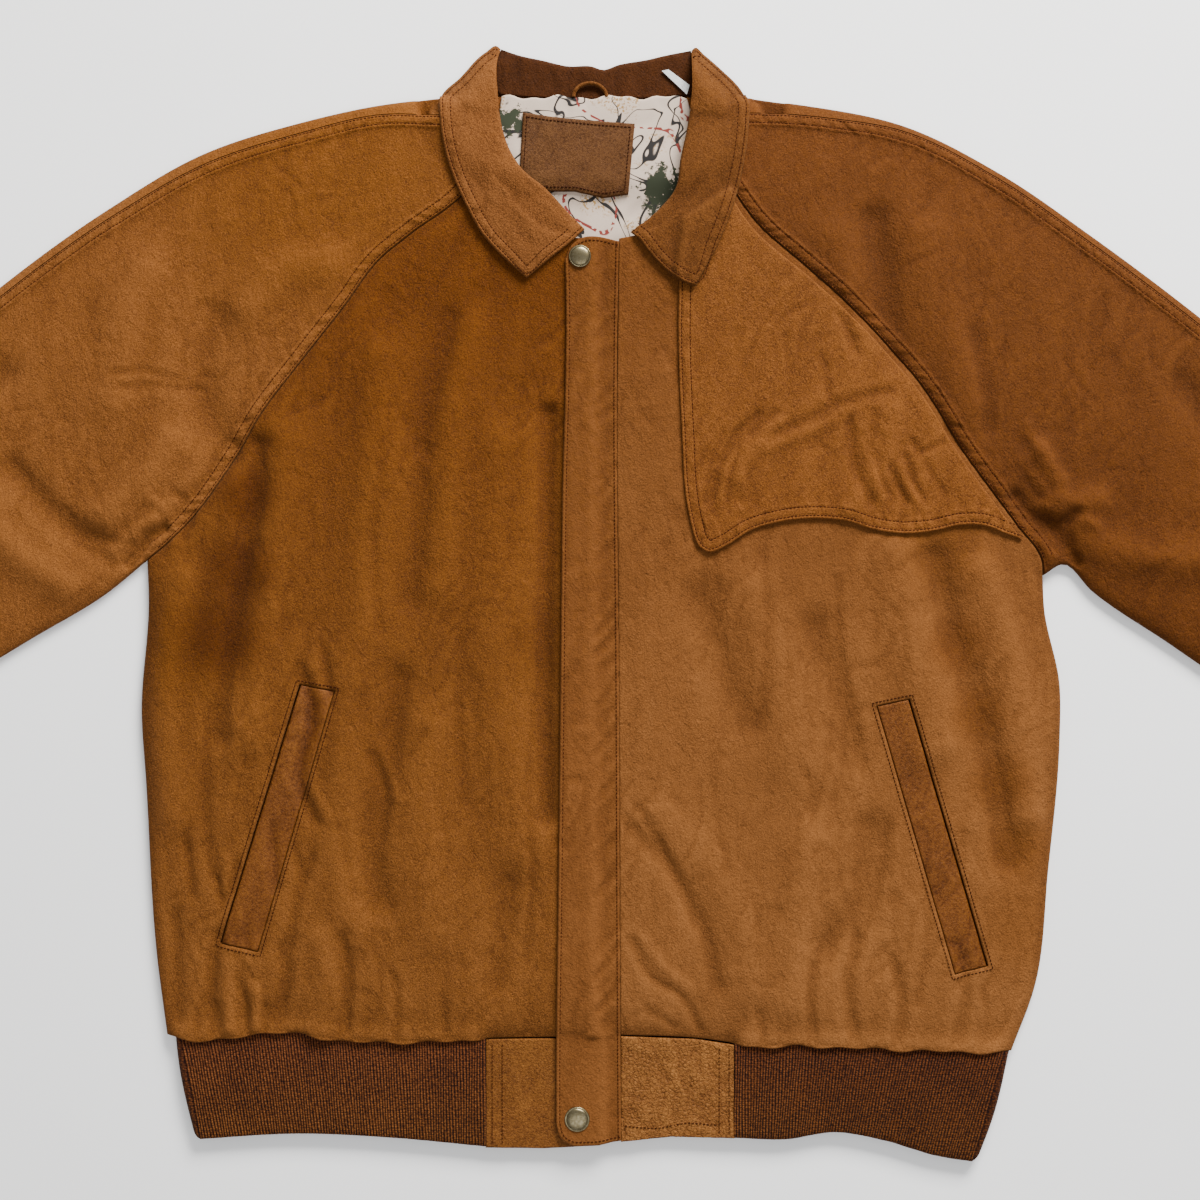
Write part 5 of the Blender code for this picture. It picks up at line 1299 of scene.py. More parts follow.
def leaf_surface(s, side):
    """A collar leaf's face, with its sewn edge and its crinkled roll."""
    def make():
        outer = RIGHT_LEAF_OUTER + RIGHT_LEAF_FRONT[1:] if side == "right" else (
            LEFT_LEAF_OUTER[::-1] + LEFT_LEAF_FRONT[::-1][1:])
        line = resample(outer, 4.0)
        away, place = trace(line, s.x, s.y)
        rows = groove(away, LEAF_ROWS[0], 0.5, 0.5) + groove(away, LEAF_ROWS[1], 0.55, 0.6)
        rows = rows + 0.5 * (1 - ease((away - 8.5) / 2.5))
        pucker = noise(place / 5.0, away / 10.0, 46) * bell(away - 5, 5)
        soft = drawn_noise(s.x, s.y, 80, 40, 16, 47)
        roll = resample(RIGHT_ROLL if side == "right" else LEFT_ROLL, 5.0)
        in_from_roll = distance_to(roll, s.x, s.y)
        round_off = rolled(in_from_roll, 9.0, 1.8)
        crinkle = np.maximum(drawn_noise(s.x * (1 if side == "right" else -1), s.y, -35, 24, 7, 54),
                             -0.2) * bell(in_from_roll, 16)
        return (leaf_bottom(s, side) + LEAF_WALL + rows + 0.3 * pucker + 0.35 * soft
                + 0.7 * crinkle - round_off)
    return s.keep("leaf_top_" + side, make)


def collar_leaf(side, outer, front, roll, strip_neck, strip_roll, mats):
    """One side's collar leaf and its stitches, with the thin strip of collar beneath it."""
    outline = loop((outer, FINE_STEP), (front, 2.0), (roll, EDGE_STEP))
    roll_line = resample(roll, 4.0)

    def surface(s):
        return leaf_surface(s, side)

    def bottom(s):
        near_roll = 1 - ease((distance_to(roll_line, s.x, s.y) - 1.5) / 1.5)
        near_roll = near_roll * (s.y < 340) * (s.y > 262)
        deep = smooth_top(s) - WALL + 0.4
        under = leaf_bottom(s, side)
        return np.where(near_roll > 0,
                        under * (1 - near_roll) + np.minimum(deep, under) * near_roll, under)

    obj = shell("cloth_collar_" + side, outline, bottom, surface, mats["collar_" + side],
                step=2.4, rows=SEAM_ROWS[:11], under_step=5, roll=(2.0, 1.3), rim=0.5)
    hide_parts("collar_" + side)
    neck_line = beside(resample(strip_neck, 5), strip_roll[3], 1.5)
    strip_outline = loop((neck_line, EDGE_STEP), ([neck_line[-1], strip_roll[-1]], EDGE_STEP),
                         (strip_roll[::-1], EDGE_STEP), ([strip_roll[0], neck_line[0]], EDGE_STEP))
    strip = shell("cloth_strip_" + side, strip_outline, lambda s: smooth_top(s) - WALL,
                  lambda s: smooth_top(s) - 0.1, mats["stand"], step=3.0, under_step=6)
    edge_line = resample(outer + front[1:], 3.0)
    rows = [beside(edge_line, outline.mean(axis=0), d) for d in LEAF_ROWS]
    thread = stitches("stitch_collar_" + side, rows, surface, mats["thread"])
    sheet(outline)


def stand_top(s):
    """The collar stand's face, lower at its two upper corners."""
    soft = drawn_noise(s.x, s.y, 88, 34, 11, 48) + 0.7 * drawn_noise(s.x, s.y, 70, 20, 7, 49)
    seam = groove(np.abs(s.x + 22), 0, 0.9, 1.2)
    top_away = distance_to(resample(STAND_TOP, 5), s.x, s.y)
    corner = np.minimum(np.hypot(s.x + 70, s.y - 387), np.hypot(s.x - 64, s.y - 386))
    top = STAND_LEVEL + STAND_WALL + 0.55 * soft - 0.5 + seam - rolled(top_away, 4.0, 1.6)
    return STAND_LEVEL + (top - STAND_LEVEL) * ease(0.1 + corner / 14)


def collar(mats):
    """The two leaves, the fall folded under the back, and the stand that shows in the neck."""
    collar_leaf("right", RIGHT_LEAF_OUTER, RIGHT_LEAF_FRONT, RIGHT_ROLL, RIGHT_STRIP_NECK,
                RIGHT_STRIP_ROLL, mats)
    collar_leaf("left", LEFT_LEAF_OUTER[::-1], LEFT_LEAF_FRONT[::-1], LEFT_ROLL[::-1],
                LEFT_STRIP_NECK, LEFT_STRIP_ROLL, mats)
    fall_outline = loop((FALL_RIGHT, 5), (FALL_EDGE, 5), (FALL_LEFT, 5), (STAND_TOP, 5))
    fall = shell("cloth_collar_fall", fall_outline, level_at(0), level_at(FALL_WALL),
                 mats["collar_right"], step=6, under_step=8, gap=0.6)
    stand_outline = loop((STAND_TOP, EDGE_STEP),
                         ([STAND_TOP[-1], (65.5, 378), (65.5, 358), STAND_FOOT[0]], EDGE_STEP),
                         (STAND_FOOT, EDGE_STEP),
                         ([STAND_FOOT[-1], (-73, 358), (-73, 378), STAND_TOP[0]], EDGE_STEP))
    stand = shell("cloth_collar_stand", stand_outline, level_at(STAND_BOTTOM), stand_top,
                  mats["stand"], step=2.6)
    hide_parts("collar_back")
    sheet(stand_outline)
    sheet(FALL_OUTLINE)


def lining_surface(s):
    """The lining's face, with soft wrinkles."""
    soft = drawn_noise(s.x, s.y, 35, 40, 16, 51) + 0.6 * drawn_noise(s.x, s.y, 100, 22, 10, 52)
    return back_top(s) + 0.6 + LINING_WALL + 0.5 + 0.55 * soft


def patch_surface(s):
    """The leather patch's face."""
    soft = drawn_noise(s.x, s.y, 10, 50, 18, 53)
    return lining_surface(s) + SEAM_GAP + PATCH_WALL + 0.25 * soft


def neck_lining(mats):
    """The printed lining that shows in the neck, with an uneven upper edge."""
    edge = [(x, 352.5 + 1.1 * math.sin(x / 6.0) + 0.8 * math.sin(x / 2.7))
            for x in np.linspace(-69, 61, 44)]
    outline = corners_ring(edge + LINING[3:], EDGE_STEP)
    lining = shell("cloth_lining_neck", outline, lambda s: back_top(s) + SEAM_GAP,
                   lining_surface, mats["lining"], step=2.6)
    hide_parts("lining_neck")
    sheet(outline)


def label_patch(mats):
    """The leather patch on the lining, sewn round its edge."""
    ring = corners_ring(PATCH, 2.5)
    patch = shell("cloth_label_patch", ring, lambda s: lining_surface(s) + SEAM_GAP,
                  patch_surface, mats["patch"], step=2.2)
    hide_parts("label_patch")
    thread = stitches("stitch_patch", [closed(inset(ring, PATCH_ROW))], patch_surface,
                      mats["dark_thread"])
    sheet(ring)


def care_label(mats):
    """The small blank care label on the collar stand."""
    ring = corners_ring(CARE_LABEL, 1.5)
    label = shell("cloth_care_label", ring, level_at(ON_STAND), level_at(ON_STAND + LABEL_WALL),
                  mats["label"], step=1.5, rows=(0.4, 0.9), under_step=3, roll=(0.5, 0.2))
    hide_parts("care_label")
    sheet(ring)


def hanger_loop(mats):
    """The arch of cord at the middle of the neck."""
    path = [(LOOP_CENTRE_X + LOOP_HALF * math.cos(a), 352.5 + LOOP_HEIGHT * math.sin(a))
            for a in np.linspace(math.pi, 0, 41)]
    cord = tube("cloth_hanger_loop", path, ON_STAND + LOOP_RADIUS, LOOP_RADIUS,
                mats["collar_left"])
    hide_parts("hanger_loop")


def tube(name, path, z, radius, mat, around=18):
    """A round cord along a line in plan."""
    path = np.array(path, float)
    points = []
    for p, side in zip(path, sideways_of(path)):
        for k in range(around):
            a = 2 * math.pi * k / around
            across = side * radius * math.cos(a)
            points.append((p[0] + across[0], p[1] + across[1], z + radius * math.sin(a)))
    faces = [[a, d, c, b] for a, b, c, d in ring_quads(len(path), around)]
    faces.append(list(range(around)))
    faces.append([(len(path) - 1) * around + k for k in range(around)][::-1])
    return make_mesh(name, points, face_outwards(points, faces), mat)


def face_outwards(points, faces):
    """Turns the faces of a closed mesh so that they look outwards."""
    p = np.array(points)
    volume = 0.0
    for f in faces:
        for a, b in zip(f[1:-1], f[2:]):
            volume += np.dot(p[f[0]], np.cross(p[a], p[b]))
    return faces if volume > 0 else [f[::-1] for f in faces]


def knit_tube(name, stations, mat, closed_round, rows=BAND_ROWS):
    """A ribbed tube or strip through stations of (top, foot, sideways, angle, rib)."""
    shares = np.concatenate([np.linspace(0, 0.9, rows - 4), (0.935, 0.962, 0.985, 1.0)])
    points, relief = [], []
    for number, (top, foot, sideways, angle, rib) in enumerate(stations):
        top, foot, sideways = np.array(top), np.array(foot), np.array(sideways)
        for outer in (True, False):
            order = shares if outer else shares[::-1]
            hem = np.sqrt(1 - np.clip((order - 0.93) / 0.07, 0, 1) ** 2)
            side = abs(math.cos(angle))
            swell = (0.35 + 1.8 * side) * np.sin(math.pi * order) - (0.9 + 2.2 * side) * (1 - hem)
            if outer:
                radius = BAND_RADIUS + rib * (0.25 + 0.75 * hem) + swell
            else:
                radius = np.full(len(order), BAND_RADIUS - KNIT_WALL * 0.7)
            sway = 0.35 * np.sin(order * 5 + number * 0.11)
            p = top + (foot - top) * order[:, None]
            p = p + sideways * (math.cos(angle) * radius + sway)[:, None]
            z = BAND_RADIUS + math.sin(angle) * radius
            points += np.column_stack([p, z]).tolist()
            # relief is 1 on a rib's crest and -1 in its valleys and inside: the knit material paints
            # light on the crests and shade in the valleys from it
            relief += [2 * rib / RIB_HEIGHT - 1 if outer else -1.0] * rows
    size = 2 * rows
    count = len(stations)
    faces = ring_quads(count, size, closed_round=closed_round)
    if not closed_round:
        faces.append(list(range(size))[::-1])
        faces.append([(count - 1) * size + k for k in range(size)])
    return make_mesh(name, points, face_outwards(points, faces), mat, sharp=75, relief=relief)


def rib_stations(start, end, start_foot, end_foot, top_of, foot_of, level, shape):
    """Stations along a ribbed part of the waistband, from start to end in x."""
    ribs = round(abs(end - start) / RIB_PITCH)
    total = ribs * len(shape)
    found = []
    for i in range(total + 1):
        t = i / total
        x_top = start + (end - start) * t
        x_foot = start_foot + (end_foot - start_foot) * t
        found.append(((x_top, top_of(x_top)), (x_foot, foot_of(x_foot)), (1, 0),
                      level, RIB_HEIGHT * shape[i % len(shape)]))
    return found


def side_fold(top, foot, side):
    """Stations round the fold at one side of the waistband."""
    return [(top, foot, (1, 0), math.pi / 2 - side * math.pi * k / 12, 0.5 * RIB_HEIGHT)
            for k in range(1, 12)]


def curve_y(points):
    """The height in plan of a curve, as a function of x."""
    p = np.array(points, float)
    p = p[np.argsort(p[:, 0])]
    return lambda x: float(np.interp(x, p[:, 0], p[:, 1]))


def waistband(mats):
    """One knitted strip, from the left tab round the back to the right tab."""
    overlap = 0.1
    right_top = curve_y([(x, y - 1.5 * SEAM_GAP) for x, y in resample(RIGHT_FRONT_WAIST, 5)])
    left_top = curve_y([(x, y - 1.5 * SEAM_GAP) for x, y in resample(LEFT_WAIST, 5)])
    right_foot = curve_y(resample(RIGHT_BAND_HEM, 5))
    left_foot = curve_y(resample(LEFT_BAND_HEM, 5))
    r = BAND_RADIUS
    right_x, right_foot_x = RIGHT_BAND_TOP[0] + r, RIGHT_BAND_END[0] + r
    left_x, left_foot_x = LEFT_BAND_TOP[0] - r, LEFT_BAND_END[0] - r
    stations = rib_stations(LEFT_TAB_SEAM - overlap, left_x, LEFT_TAB_SEAM - overlap, left_foot_x,
                            left_top, left_foot, math.pi / 2, RIB_SHAPE)
    stations += side_fold(stations[-1][0], stations[-1][1], 1)
    waist = curve_y(resample(RIGHT_WAIST[:-1] + LEFT_WAIST[1:], 5))
    foot = curve_y(np.vstack([resample(RIGHT_BAND_HEM, 5), resample(LEFT_BAND_HEM, 5)]))

    def back_foot(x):
        t = (x - left_foot_x) / (right_foot_x - left_foot_x)
        return foot(x) + BACK_HEM_RISE * min(1, max(0, 8 * t), max(0, 8 * (1 - t)))

    stations += rib_stations(left_x - 0.5, right_x + 0.5, left_foot_x - 0.5, right_foot_x + 0.5,
                             lambda x: waist(x) - 3 * SEAM_GAP, back_foot, -math.pi / 2,
                             BACK_RIB_SHAPE)
    stations += side_fold((right_x, right_top(right_x)), (right_foot_x, right_foot(right_foot_x)),
                          -1)[::-1]
    stations += rib_stations(right_x, RIGHT_TAB_SEAM + overlap, right_foot_x, RIGHT_TAB_SEAM + overlap,
                             right_top, right_foot, math.pi / 2, RIB_SHAPE)
    obj = knit_tube("knit_waistband", stations, mats["knit"], False)
    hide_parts("waistband")


def cuffs(mats):
    """The two knitted cuffs, ribbed all round."""
    for name, centre, side in (("cuff_right", RIGHT_CUFF_TOP, -1),
                               ("cuff_left", LEFT_CUFF_TOP, 1)):
        sideways = cuff_corner((0, 0), side, 1, 0)
        r = BAND_RADIUS
        stations = []

        def station(across, angle, rib):
            top = cuff_corner(centre, side, across * (CUFF_TOP_HALF - r), SEAM_GAP / 2 + 0.2)
            foot = cuff_corner(centre, side, across * (CUFF_END_HALF - r), CUFF_LENGTH)
            stations.append((top, foot, sideways, angle, rib))

        ribs = round(2 * CUFF_TOP_HALF / RIB_PITCH)
        total = ribs * len(RIB_SHAPE)
        for i in range(total + 1):
            station(-1 + 2 * i / total, math.pi / 2, RIB_HEIGHT * RIB_SHAPE[i % len(RIB_SHAPE)])
        for k in range(1, 12):
            station(1, math.pi / 2 - math.pi * k / 12, 0.5 * RIB_HEIGHT)
        for i in range(4 * ribs + 1):
            station(1 - i / (2 * ribs), -math.pi / 2, RIB_HEIGHT * BACK_RIB_SHAPE[i % 4])
        for k in range(1, 12):
            station(-1, -math.pi / 2 - math.pi * k / 12, 0.5 * RIB_HEIGHT)
        obj = knit_tube("knit_" + name, stations, mats["knit"], True)
        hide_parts(name)


def snap(name, centre, radius, node, mat, around=64):
    """A domed snap cap with a flat rim, a fine groove and a worn centre."""
    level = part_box(node)[0][2] / MM - SHIFT[2]
    profile = [(radius, 0.0), (radius, 0.45), (radius - 0.12, 0.72), (radius - 0.4, 0.9),
               (0.91 * radius, 0.92), (0.885 * radius, 0.80), (0.865 * radius, 0.78),
               (0.85 * radius, 0.95), (0.82 * radius, 1.25), (0.76 * radius, 1.52),
               (0.68 * radius, 1.76), (0.56 * radius, 2.0), (0.42 * radius, 2.19),
               (0.26 * radius, 2.31), (0.12 * radius, 2.38)]
    points = []
    for r, height in profile:
        for k in range(around):
            a = 2 * math.pi * k / around
            points.append((centre[0] + r * math.cos(a), centre[1] + r * math.sin(a),
                           level + height))
    faces = ring_quads(len(profile), around)
    points.append((centre[0], centre[1], level + SNAP_HEIGHT))
    points.append((centre[0], centre[1], level))
    last = (len(profile) - 1) * around
    for k in range(around):
        n = (k + 1) % around
        faces.append([last + k, last + n, len(points) - 2])
        faces.append([n, k, len(points) - 1])
    obj = make_mesh(name, points, face_outwards(points, faces), mat, sharp=40)
    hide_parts(node)


class Graph:
    """A short way to write a material's nodes."""

    def __init__(self, name):
        self.mat = bpy.data.materials.new(name)
        self.mat.use_nodes = True
        self.tree = self.mat.node_tree
        self.shader = self.tree.nodes["Principled BSDF"]
        self.place = self.tree.nodes.new("ShaderNodeTexCoord").outputs["Object"]

    def node(self, kind, inputs=None, **settings):
        """A node with its settings, and with values or links put into its inputs."""
        found = self.tree.nodes.new("ShaderNode" + kind)
        for key, value in settings.items():
            setattr(found, key, value)
        for key, value in (inputs or {}).items():
            self.put(found.inputs[key], value)
        return found

    def put(self, socket, value):
        if isinstance(value, bpy.types.NodeSocket):
            self.tree.links.new(value, socket)
        elif value is not None:
            socket.default_value = value

    def stretched(self, size, turn=0.0):
        """Coordinates scaled along each axis, after a turn about Z in degrees."""
        return self.node("Mapping", {"Vector": self.place, "Scale": size,
                                     "Rotation": (0, 0, math.radians(turn))}).outputs["Vector"]

    def shifted(self, by):
        """Coordinates moved aside by some metres, to read another part of a noise."""
        return self.node("Mapping", {"Vector": self.place,
                                     "Location": (by, by, 0)}).outputs["Vector"]

    def noise(self, scale, detail=3.0, rough=0.55, where=None, distortion=0.0):
        return self.node("TexNoise", {"Vector": where or self.place, "Scale": scale,
                                      "Detail": detail, "Roughness": rough,
                                      "Distortion": distortion}).outputs["Fac"]

    def cells(self, scale, feature="F1", where=None, randomness=1.0):
        return self.node("TexVoronoi", {"Vector": where or self.place, "Scale": scale,
                                        "Randomness": randomness},
                         feature=feature).outputs["Distance"]

    def maths(self, operation, a, b=None):
        return self.node("Math", {0: a, 1: b}, operation=operation).outputs[0]

    def span(self, value, low, high, out_low=0.0, out_high=1.0):
        """Maps low to high onto out_low to out_high, smoothly and clamped."""
        return self.node("MapRange", {"Value": value, "From Min": low, "From Max": high,
                                      "To Min": out_low, "To Max": out_high},
                         interpolation_type="SMOOTHSTEP").outputs["Result"]

    def blend(self, share, a, b, kind="MIX"):
        """Two colours mixed or multiplied, by a share from 0 to 1."""
        found = self.node("Mix", data_type="RGBA", blend_type=kind)
        self.put(found.inputs["Factor"], share)
        sockets = [one for one in found.inputs if one.type == "RGBA"]
        for socket, value in zip(sockets, (a, b)):
            self.put(socket, (*value, 1) if isinstance(value, tuple) else value)
        return [out for out in found.outputs if out.type == "RGBA"][0]

    def bump(self, height, distance, strength=1.0, over=None):
        return self.node("Bump", {"Height": height, "Distance": distance, "Strength": strength,
                                  "Normal": over}).outputs["Normal"]

    def graded(self, colour, low, high, foot, head):
        """A colour multiplied by one tint towards the hem and by another towards the collar."""
        parts = self.node("SeparateXYZ", {0: self.place})
        share = self.node("MapRange", {"Value": parts.outputs["Y"], "From Min": low,
                                       "From Max": high}).outputs["Result"]
        return self.blend(1.0, colour, self.blend(share, foot, head), "MULTIPLY")

    def away(self, centre, height):
        """The distance in metres from a place, given in millimetres in plan."""
        place = (centre[0] * MM, centre[1] * MM, height)
        return self.node("VectorMath", {0: self.place, 1: place},
                         operation="DISTANCE").outputs["Value"]

    def tinted_patch(self, colour, centre, radius, tint):
        """A colour multiplied by a tint in a soft round place."""
        share = self.span(self.away(centre, 0.01), 0.25 * radius * MM, radius * MM, 1.0, 0.0)
        return self.blend(share, colour, self.blend(1.0, colour, tint, "MULTIPLY"))

    def attribute(self, name):
        found = self.node("Attribute", attribute_type="GEOMETRY", attribute_name=name)
        return found.outputs["Fac"]

    def weighted(self, start, *parts):
        """start plus the sum of (value - middle) times weight over some parts."""
        total = None
        for value, weight, middle in parts:
            if total is None:
                before = start - weight * middle
            else:
                before = self.maths("SUBTRACT", total, weight * middle)
            total = self.node("Math", {0: value, 1: weight, 2: before},
                              operation="MULTIPLY_ADD").outputs[0]
        return total

    def three(self, tone, dark, middle, light):
        """A colour from dark over middle to light as tone goes from 0 to 1."""
        found = self.node("ValToRGB")
        found.color_ramp.elements[0].color = (*dark, 1)
        found.color_ramp.elements[1].color = (*light, 1)
        found.color_ramp.elements.new(0.5).color = (*middle, 1)
        self.put(found.inputs["Fac"], tone)
        return found.outputs["Color"]

    def finish(self, colour, roughness, normal, **plain):
        self.put(self.shader.inputs["Base Color"], colour)
        self.put(self.shader.inputs["Roughness"], roughness)
        self.put(self.shader.inputs["Normal"], normal)
        for key, value in plain.items():
            self.shader.inputs[key.replace("_", " ")].default_value = value
        return self.mat


def shade(colour, *by):
    """A colour with its red, green and blue each multiplied by a number of its own."""
    return tuple(c * f for c, f in zip(colour, by))


def nubuck(name, base, streak_turn=0.0, contrast=1.0, foot=(1, 1, 1), head=(1, 1, 1),
           shade_patches=(), fuzz=1.0):
    """Brushed leather: soft mottle, darker streaks, scuffs and a fine nap, with painted shade in its
    hollows and creases and lighter rubbed ridges.
    """
    g = Graph(name)
    dark = shade(base, 0.40, 0.34, 0.25)
    light = shade(base, 1.60, 1.72, 2.1)
    cloud = g.noise(8.0, 4.0, 0.6)
    streak = g.noise(1.0, 5.0, 0.62, g.stretched((46, 9, 20), streak_turn), 0.6)
    patch = g.noise(62.0, 4.0, 0.62, None, 0.4)
    mottle = g.noise(290.0, 3.0, 0.7)
    nap = g.noise(1250.0, 3.0, 0.8)
    relief = g.attribute("relief")
    fold = g.attribute("fold")
    # relief and fold paint shade into hollows, creases and folds, and lighten ridges as rubbed wear
    tone = g.weighted(0.5, (cloud, 0.24 * contrast, 0.5), (streak, 0.44 * contrast, 0.5),
                      (patch, 0.12 * contrast, 0.5), (mottle, 0.12, 0.5), (nap, 3.2 * fuzz, 0.5),
                      (relief, 0.10, 0.0), (fold, 0.05, 0.0))
    colour = g.three(tone, dark, base, light)
    scuffs = g.span(g.noise(70.0, 6.0, 0.75, None, 1.4), 0.67, 0.75)
    colour = g.blend(g.maths("MULTIPLY", scuffs, 0.30), colour, light)
    # Tints towards the hem and the collar: partly the hide's own colour, partly painted light and
    # shade along the garment's length
    colour = g.graded(colour, -0.24, 0.22, foot, head)
    # Darker soft patches, painted shade: along the fronts' deep folds and troughs, beside the
    # placket's edge and over the top of the right sleeve
    for centre, radius, tint in shade_patches:
        colour = g.tinted_patch(colour, centre, radius, tint)
    wrinkle = g.noise(120.0, 4.0, 0.58, g.stretched((1.5, 0.8, 1), streak_turn), 0.8)
    grain = g.cells(700.0)
    normal = g.bump(wrinkle, 0.0017, 0.7)
    normal = g.bump(grain, 0.0004, 0.6, normal)
    normal = g.bump(nap, 0.0004, 0.7 * fuzz, normal)
    rough = g.span(mottle, 0.3, 0.7, 0.82, 0.95)
    return g.finish(colour, rough, normal, Specular_IOR_Level=0.08, Sheen_Weight=0.05,
                    Sheen_Roughness=0.5, Sheen_Tint=(0.9, 0.55, 0.28, 1.0))


def grained(name, base, rough_low, rough_high, scale, crackle=0.3):
    """Smoother leather with a pebbled grain and fine cracks, and painted shade in its hollows."""
    g = Graph(name)
    dark = shade(base, 0.42, 0.34, 0.25)
    light = shade(base, 1.55, 1.7, 2.0)
    cloud = g.noise(34.0, 5.0, 0.65)
    fine = g.noise(620.0, 4.0, 0.8)
    pebble = g.cells(scale)
    crack = g.cells(scale * 0.55, "DISTANCE_TO_EDGE")
    # relief and fold paint shade into hollows and creases and lighten ridges
    tone = g.weighted(0.5, (cloud, 0.7, 0.5), (fine, 2.7, 0.5), (pebble, -0.25 * crackle, 0.4),
                      (g.attribute("relief"), 0.12, 0.0), (g.attribute("fold"), 0.08, 0.0))
    colour = g.three(tone, dark, base, light)
    colour = g.blend(g.span(crack, 0.0, 0.14, crackle, 0.0), colour, dark)
    wrinkle = g.noise(150.0, 4.0, 0.6, None, 0.6)
    normal = g.bump(wrinkle, 0.0012, 0.5)
    normal = g.bump(pebble, 0.0002 + 0.002 * crackle, 0.5, normal)
    normal = g.bump(g.span(crack, 0.0, 0.15), 0.0001 + 0.002 * crackle, 0.5, normal)
    normal = g.bump(fine, 0.0003, 0.5, normal)
    return g.finish(colour, g.span(cloud, 0.3, 0.7, rough_low, rough_high), normal,
                    Specular_IOR_Level=0.1)


def knit_material(name, base):
    """Ribbed wool: rib crests painted lighter and valleys painted darker as light and shade, and the
    small loops of the yarn.
    """
    g = Graph(name)
    dark = shade(base, 0.10, 0.08, 0.35)
    light = shade(base, 2.6, 3.0, 3.0)
    loops = g.cells(1.0, where=g.stretched((430, 640, 60)), randomness=0.55)
    yarn = g.noise(900.0, 3.0, 0.8)
    cloud = g.noise(30.0, 4.0, 0.6)
    # relief paints light on the rib crests and shade in the valleys; loops paints shade at the edges
    # of each loop
    tone = g.weighted(0.40, (g.attribute("relief"), 0.38, 0.0), (loops, -0.85, 0.42),
                      (yarn, 2.0, 0.5), (cloud, 0.35, 0.5))
    colour = g.three(tone, dark, base, light)
    # Lighter towards the hem, lighter on the wearer's right side of the band and darker on its left
    colour = g.graded(colour, -0.385, -0.305, (1.05, 1.12, 1.0), (0.95, 0.88, 1.1))
    colour = g.tinted_patch(colour, (-230, -345), 190, (1.10, 1.14, 1.22))
    colour = g.tinted_patch(colour, (260, -345), 190, (0.82, 0.77, 0.72))
    normal = g.bump(loops, -0.0008, 0.7)
    normal = g.bump(yarn, 0.0003, 0.6, normal)
    return g.finish(colour, g.span(yarn, 0.3, 0.7, 0.85, 0.98), normal, Specular_IOR_Level=0.08,
                    Sheen_Weight=0.03, Sheen_Roughness=0.5)


def lining_material(name):
    """Cream cloth with a made-up scatter of lines, dashes and soft patches, and painted shade in its
    hollows.
    """
    g = Graph(name)
    cream = (0.46, 0.36, 0.285)
    weave = g.noise(1800.0, 2.0, 0.6)
    base = g.blend(g.span(weave, 0.35, 0.65, 0.25, 0.0), cream, shade(cream, 0.75, 0.75, 0.75))
    # Painted shade in the lining's hollows, from its relief
    hollows = g.span(g.attribute("relief"), -1.0, -0.1, 0.4, 0.0)
    base = g.blend(hollows, base, shade(cream, 0.6, 0.6, 0.6))
    speckle = g.span(g.noise(520.0, 2.0, 0.7), 0.54, 0.57)
    region = g.span(g.noise(22.0, 3.0, 0.5), 0.53, 0.60)
    base = g.blend(g.maths("MULTIPLY", speckle, region), base, (0.26, 0.15, 0.05))
    for scale, level, seed in ((17.0, 0.47, 0.0), (23.0, 0.54, 3.1)):
        wiggle = g.noise(scale, 1.8, 0.65, g.shifted(seed), 0.9)
        away = g.maths("ABSOLUTE", g.maths("SUBTRACT", wiggle, level))
        base = g.blend(g.span(away, 0.006, 0.0105, 1.0, 0.0), base, (0.012, 0.010, 0.009))
    track = g.maths("ABSOLUTE", g.maths("SUBTRACT", g.noise(13.0, 0.0, 0.5, g.shifted(7.7)), 0.5))
    dashes = g.span(g.noise(1.0, 0.0, 0.5, g.stretched((300, 300, 1), 30)), 0.44, 0.50)
    dashes = g.maths("MULTIPLY", g.span(track, 0.004, 0.007, 1.0, 0.0), dashes)
    base = g.blend(dashes, base, (0.16, 0.025, 0.018))
    for centre, radius, ink in (((44, 290), 34, (0.017, 0.021, 0.009)),
                                ((52, 272), 20, (0.006, 0.006, 0.006)),
                                ((-62, 338), 22, (0.020, 0.025, 0.011))):
        spot = g.away(centre, 0.005)
        core = g.span(spot, 0.1 * radius * MM, radius * MM, 0.62, 0.25)
        ragged = g.weighted(0.0, (core, 1.0, 0.0), (g.noise(110.0, 5.0, 0.75), 1.0, 0.5))
        base = g.blend(g.span(ragged, 0.47, 0.53), base, ink)
    normal = g.bump(weave, 0.0002, 0.5)
    return g.finish(base, 0.75, normal, Specular_IOR_Level=0.2)


def brass_material(name):
    """Dulled brass with darker spots."""
    g = Graph(name)
    cloud = g.noise(420.0, 5.0, 0.7)
    fine = g.noise(1800.0, 3.0, 0.7)
    colour = g.blend(g.span(cloud, 0.35, 0.7), (0.125, 0.100, 0.052), (0.205, 0.175, 0.105))
    colour = g.blend(g.span(fine, 0.55, 0.75, 0.0, 0.4), colour, (0.05, 0.036, 0.020))
    normal = g.bump(cloud, 0.0001, 0.5)
    return g.finish(colour, g.span(cloud, 0.3, 0.7, 0.40, 0.30), normal, Metallic=1.0)


def thread_material(name, base):
    """Twisted sewing thread."""
    g = Graph(name)
    twist = g.noise(2200.0, 2.0, 0.6)
    colour = g.blend(g.span(twist, 0.35, 0.65), shade(base, 0.7, 0.7, 0.7),
                     shade(base, 1.3, 1.3, 1.3))
    return g.finish(colour, 0.7, g.bump(twist, 0.0001, 0.5), Specular_IOR_Level=0.04)


def label_material(name):
    """Woven white tape."""
    g = Graph(name)
    weave = g.noise(1.0, 2.0, 0.5, g.stretched((2600, 1300, 1000), 30))
    colour = g.blend(g.span(weave, 0.35, 0.65), (0.38, 0.38, 0.37), (0.60, 0.60, 0.58))
    return g.finish(colour, 0.6, g.bump(weave, 0.0001, 0.5))


